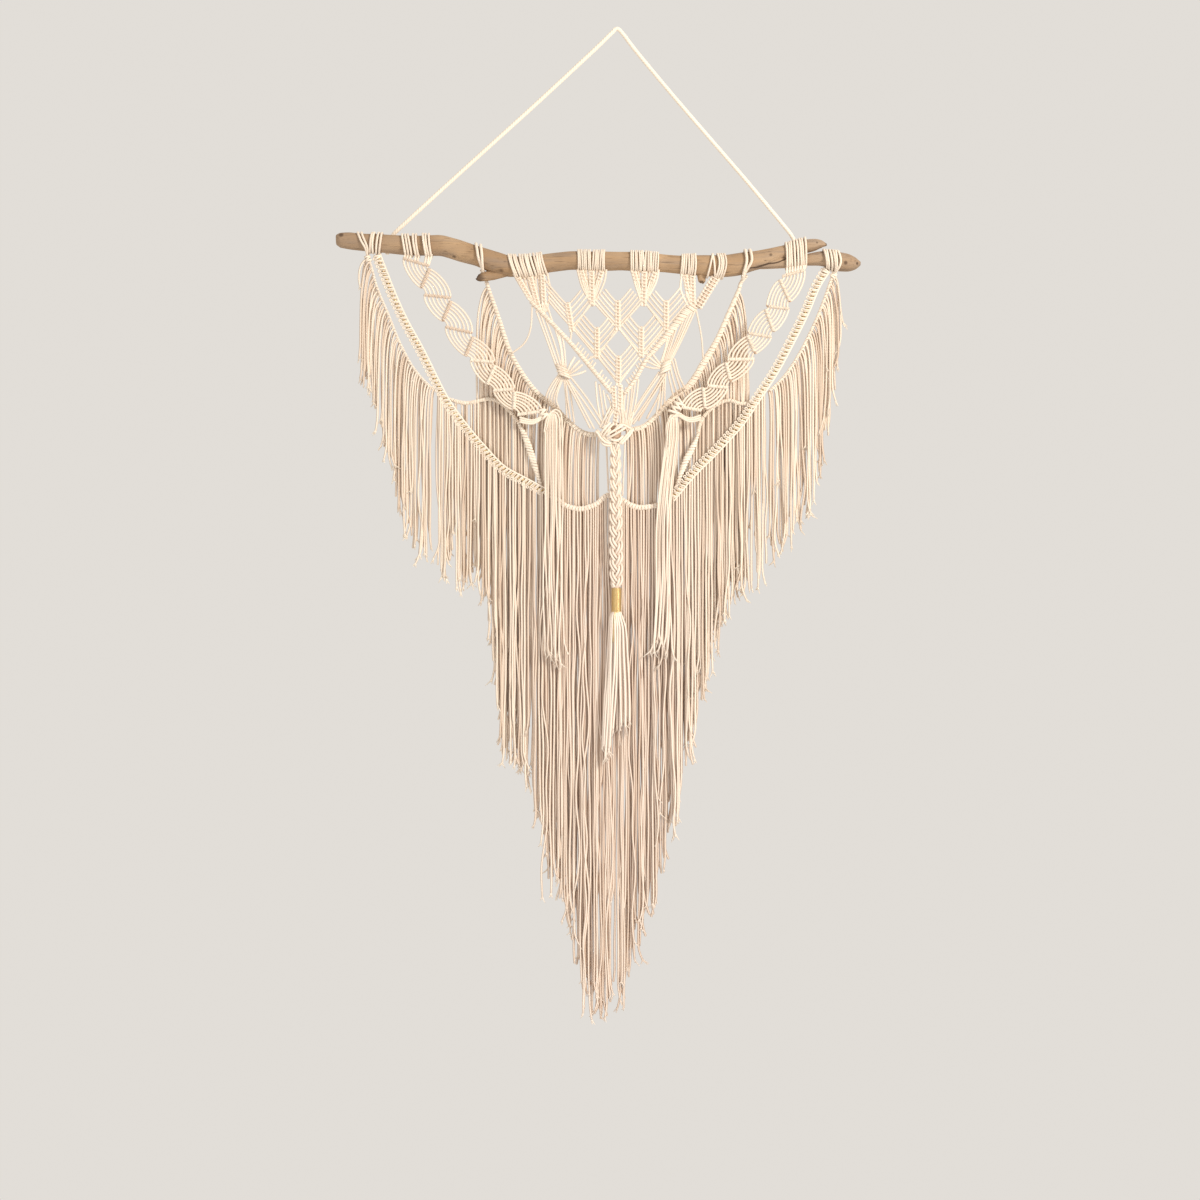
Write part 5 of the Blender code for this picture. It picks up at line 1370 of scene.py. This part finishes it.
centreKnot = {
    "middle": (-2.5, -4.0, -583.0),
    # Each strand that crosses the knot: its corners as x, y, z
    "strands": (
        ((-31, -6, -581), (-28, -8, -584), (-23.5, -9.5, -591), (-17, -10.5, -597), (-9, -10.5, -599)),
        ((-29, -5, -579), (-24.5, -8, -583.5), (-19.5, -9, -590), (-14, -10, -595), (-7, -10, -598)),
        ((-27, -4, -586), (-25, -6.5, -592), (-19, -9, -600.5), (-10, -10, -602)),
        ((20, -6, -579), (16, -8, -584), (11, -9.5, -590), (3, -10.5, -599)),
        ((23, -5, -578), (20.5, -7, -583), (14.5, -9, -591), (6, -10, -600)),
        ((-2, -10, -583), (-1.5, -11.5, -577), (3, -12, -572.5), (9, -11, -572), (16, -9, -575),
         (21, -6, -578)),
        ((-16, -10, -588), (-12, -12.5, -585), (-4, -13.5, -580), (4, -13, -575.5), (9, -10, -572)),
        ((-15, -10, -592), (-9, -12.5, -589), (0, -13.5, -584), (8, -12, -579), (13, -9, -575)),
        ((-24, -8, -586), (-20, -11, -580), (-15, -12, -574), (-10, -10, -569)),
        ((-21, -9, -589), (-16.5, -12.5, -583), (-11.5, -12.5, -577), (-6, -10, -571)),
        ((-10, -11, -592), (-4, -13.5, -595), (3, -12, -593), (8, -9, -588)),
    ),
    "strandRadius": 2.0,
    # How far two cores reach up and down from the middle, and their radius
    "cores": ((14.0, 6.5), (9.0, 8.0)),
    # A rounded lump on the left: x, y, z at each end, and the half width of its loops
    "lump": (-20, -8.5, -573, -11, -8.5, -583, 3.6),
}


def buildCentreKnot(piece):
    # Strands that pass over and under each other where all of them meet, round a core that hides in the
    # shade.
    x, y, z = centreKnot["middle"]
    for reach, half in centreKnot["cores"]:
        core = np.array([(x + 1, y + 2.0, z + reach), (x, y + 2.0, z - reach)])
        piece.lay(evenLine(core, 4.0), half, sides=12, shade=0.75)
    for number, corners in enumerate(centreKnot["strands"]):
        piece.lay(smoothLine(corners, 2.2), centreKnot["strandRadius"], shade=0.12 * (number % 2))
    x1, y1, z1, x2, y2, z2, half = centreKnot["lump"]
    piece.knots(np.array([(x1, y1, z1), (x2, y2, z2)], float), half, half, radius=1.9, pitch=3.3, tilt=0.25)
    # A collar from which the plait starts
    collar = np.array([(x + 0.5, y - 3.0, z - 10.0), (x + 0.5, y - 5.0, z - 18.5)])
    piece.knots(collar, wide=5.2, deep=4.2, radius=1.6, pitch=2.9, tilt=0.4)


buildDiamondPanel()


plait = {
    "x": -2.5, "top": -600.3, "foot": -806.5, "turns": 4.15, "strands": 3, "strandRadius": 2.15,
    "weave": 2.9,
    # At the top, at the full share of the length and at the foot: how far a bundle swings to the side, and
    # how far its strands lie from its middle
    "swing": (4.4, 5.9, 5.9), "bundle": (2.2, 2.9, 2.9), "full": 0.6,
    "closeFrom": 0.94, "lean": 1.5,     # share of the length where it starts to close; drift in x
}


def buildPlait():
    # Each of three bundles swings as a sine across and twice as fast front to back, a third of a turn
    # apart. The plait grows downwards and closes in a quarter circle at its foot.
    piece = Bundle(24, shade=0.03)
    z = np.arange(plait["top"], plait["foot"] - 1.0, -1.2)
    share = (plait["top"] - z) / (plait["top"] - plait["foot"])
    phase = 2 * np.pi * plait["turns"] * share
    close = np.sqrt(np.clip(1 - np.clip((share - plait["closeFrom"]) / 0.07, 0, 1) ** 2, 0.25, 1))
    swing = np.interp(share, (0, plait["full"], 1), plait["swing"]) * close
    reach = np.interp(share, (0, plait["full"], 1), plait["bundle"]) * close
    x = plait["x"] + plait["lean"] * share
    for bundle in range(3):
        turn = phase + 2 * np.pi * bundle / 3
        centre = np.stack([x + swing * np.sin(turn), yarn["planePlait"] + plait["weave"] * np.sin(2 * turn),
                           z], 1)
        _, side, front = crossAxes(centre, (0, 1, 0))
        for number in range(plait["strands"]):
            angle = 2 * np.pi * number / plait["strands"] + 0.3 * turn
            out = 0.9 * np.cos(angle)[:, None] * side + 0.55 * np.sin(angle)[:, None] * front
            piece.lay(evenLine(centre + reach[:, None] * out, 2.4), plait["strandRadius"], deepen=1.5)
    piece.make("centrePlait", ["centre_braid"])


buildPlait()


binding = {
    "x": -1.0, "top": -808.4, "foot": -842.6, "radius": 6.8, "thread": 0.5, "pitch": 0.98, "steps": 26,
    # The loose ends: x from the middle, and z of the end
    "tails": ((-2.6, -886), (-1.4, -868)), "tailRadius": 0.6,
}


def buildBinding():
    # Thread wound round the tassel's neck as one helix over a sleeve, with two loose ends down its front.
    piece = Bundle(25)
    x, top, foot, radius = (binding[key] for key in ("x", "top", "foot", "radius"))
    y = yarn["planePlait"]
    t = np.arange(0, (top - foot) / binding["pitch"], 1 / binding["steps"])
    angle, wobble = 2 * np.pi * t, 0.12 * np.sin(t * 2.3)
    line = np.stack([x + (radius + wobble) * np.cos(angle), y + (radius - 0.35 + wobble) * np.sin(angle),
                     top - binding["pitch"] * t], 1)
    out = np.stack([np.cos(angle), np.sin(angle), 0 * angle], 1)
    piece.lay(line, binding["thread"], across=out, sides=5, shade=0.0, deepen=0.5)
    # The sleeve under the thread carries some painted shade, for the shadow between the turns.
    sleeve = evenLine(np.array([(x, y, top + 0.2), (x, y, foot - 0.2)]), 8.0)
    piece.lay(sleeve, radius - 0.25, sides=24, shade=0.2, deepen=0.3)
    for side, end in binding["tails"]:
        tail = smoothLine(((x + side, y - radius + 0.6, foot + 1),
                           (x + side * 1.4, y - radius - 1.2, foot - 12),
                           (x + side * 1.8, y - radius - 0.5, end)), 2.0)
        piece.lay(tail, binding["tailRadius"], sides=5, shade=0.1, deepen=0.3)
    piece.make("goldWrap", ["gold_wrap"], goldThread, "gold_thread")


buildBinding()


tassel = {
    "x": -1.0, "neck": -806.5, "head": -846.0, "neckRadius": 5.0, "radius": 2.0,
    # Each strand: x a third of the way down, x and z of its end, how far back it hangs
    "strands": ((-14, -21, -1041, 1), (-11, -17, -1052, -2), (-8, -15, -1030, 2), (-9, -12, -1043, -3),
                (-5, -9, -1020, 3), (-2, 2, -996, 4), (2, 0, -1012, 2), (4, 6, -1004, -3), (7, 9, -1000, 1),
                (9, 12, -1008, -3), (12, 15, -994, 2), (14, 18, -1001, -1), (10, 13, -1016, 4),
                (-12, -18, -1018, 3), (1, 4, -1030, 5), (-6, -14, -1048, 4), (-10, -19, -1034, -1),
                (-7, -16, -1056, 1), (-4, -11, -1038, -4), (0, -6, -1012, -3), (6, 4, -1010, 0)),
}


def buildTassel():
    # Strands leave the neck, swell out over a rounded head and fall in two groups, to the left and to the
    # right.
    piece = Bundle(26, shade=0.02)
    random = piece.random
    middle, y, head = tassel["x"], yarn["planePlait"], tassel["head"]
    neckLine = np.array([(middle, y, tassel["neck"]), (middle, y, head - 8)])
    # A core round the neck, painted in shade, shows between the strands as shadow.
    piece.lay(evenLine(neckLine, 6.0), tassel["neckRadius"], sides=12, shade=0.6)
    for x, endX, endZ, back in tassel["strands"]:
        low = head - endZ
        line = smoothLine((
            (middle + 0.32 * x, y + 0.8 * back - 1, head + 6),
            (middle + 0.66 * x, y + 1.2 * back - 2, head - 6),
            (middle + 0.86 * x + 1.5, y + 1.3 * back - 2, head - 22),
            (x + random.uniform(-0.8, 0.8), y + 1.2 * back, head - 0.34 * low),
            (0.5 * (x + endX) + random.uniform(-1.6, 1.6), y + back, head - 0.68 * low),
            (endX, y + back, endZ),
        ), 3.2)
        # Strands that hang further back get more painted shade.
        shade = random.uniform(0.0, 0.04) + 0.07 * max(back, 0)
        piece.lay(line, tassel["radius"] * random.uniform(0.82, 1.0), shade=shade, deepen=1.2)
        piece.fray(line, shade)
    piece.make("centreTassel", ["centre_tassel"])


buildTassel()


print(f"all pieces: {sum(madeTriangles)} triangles")
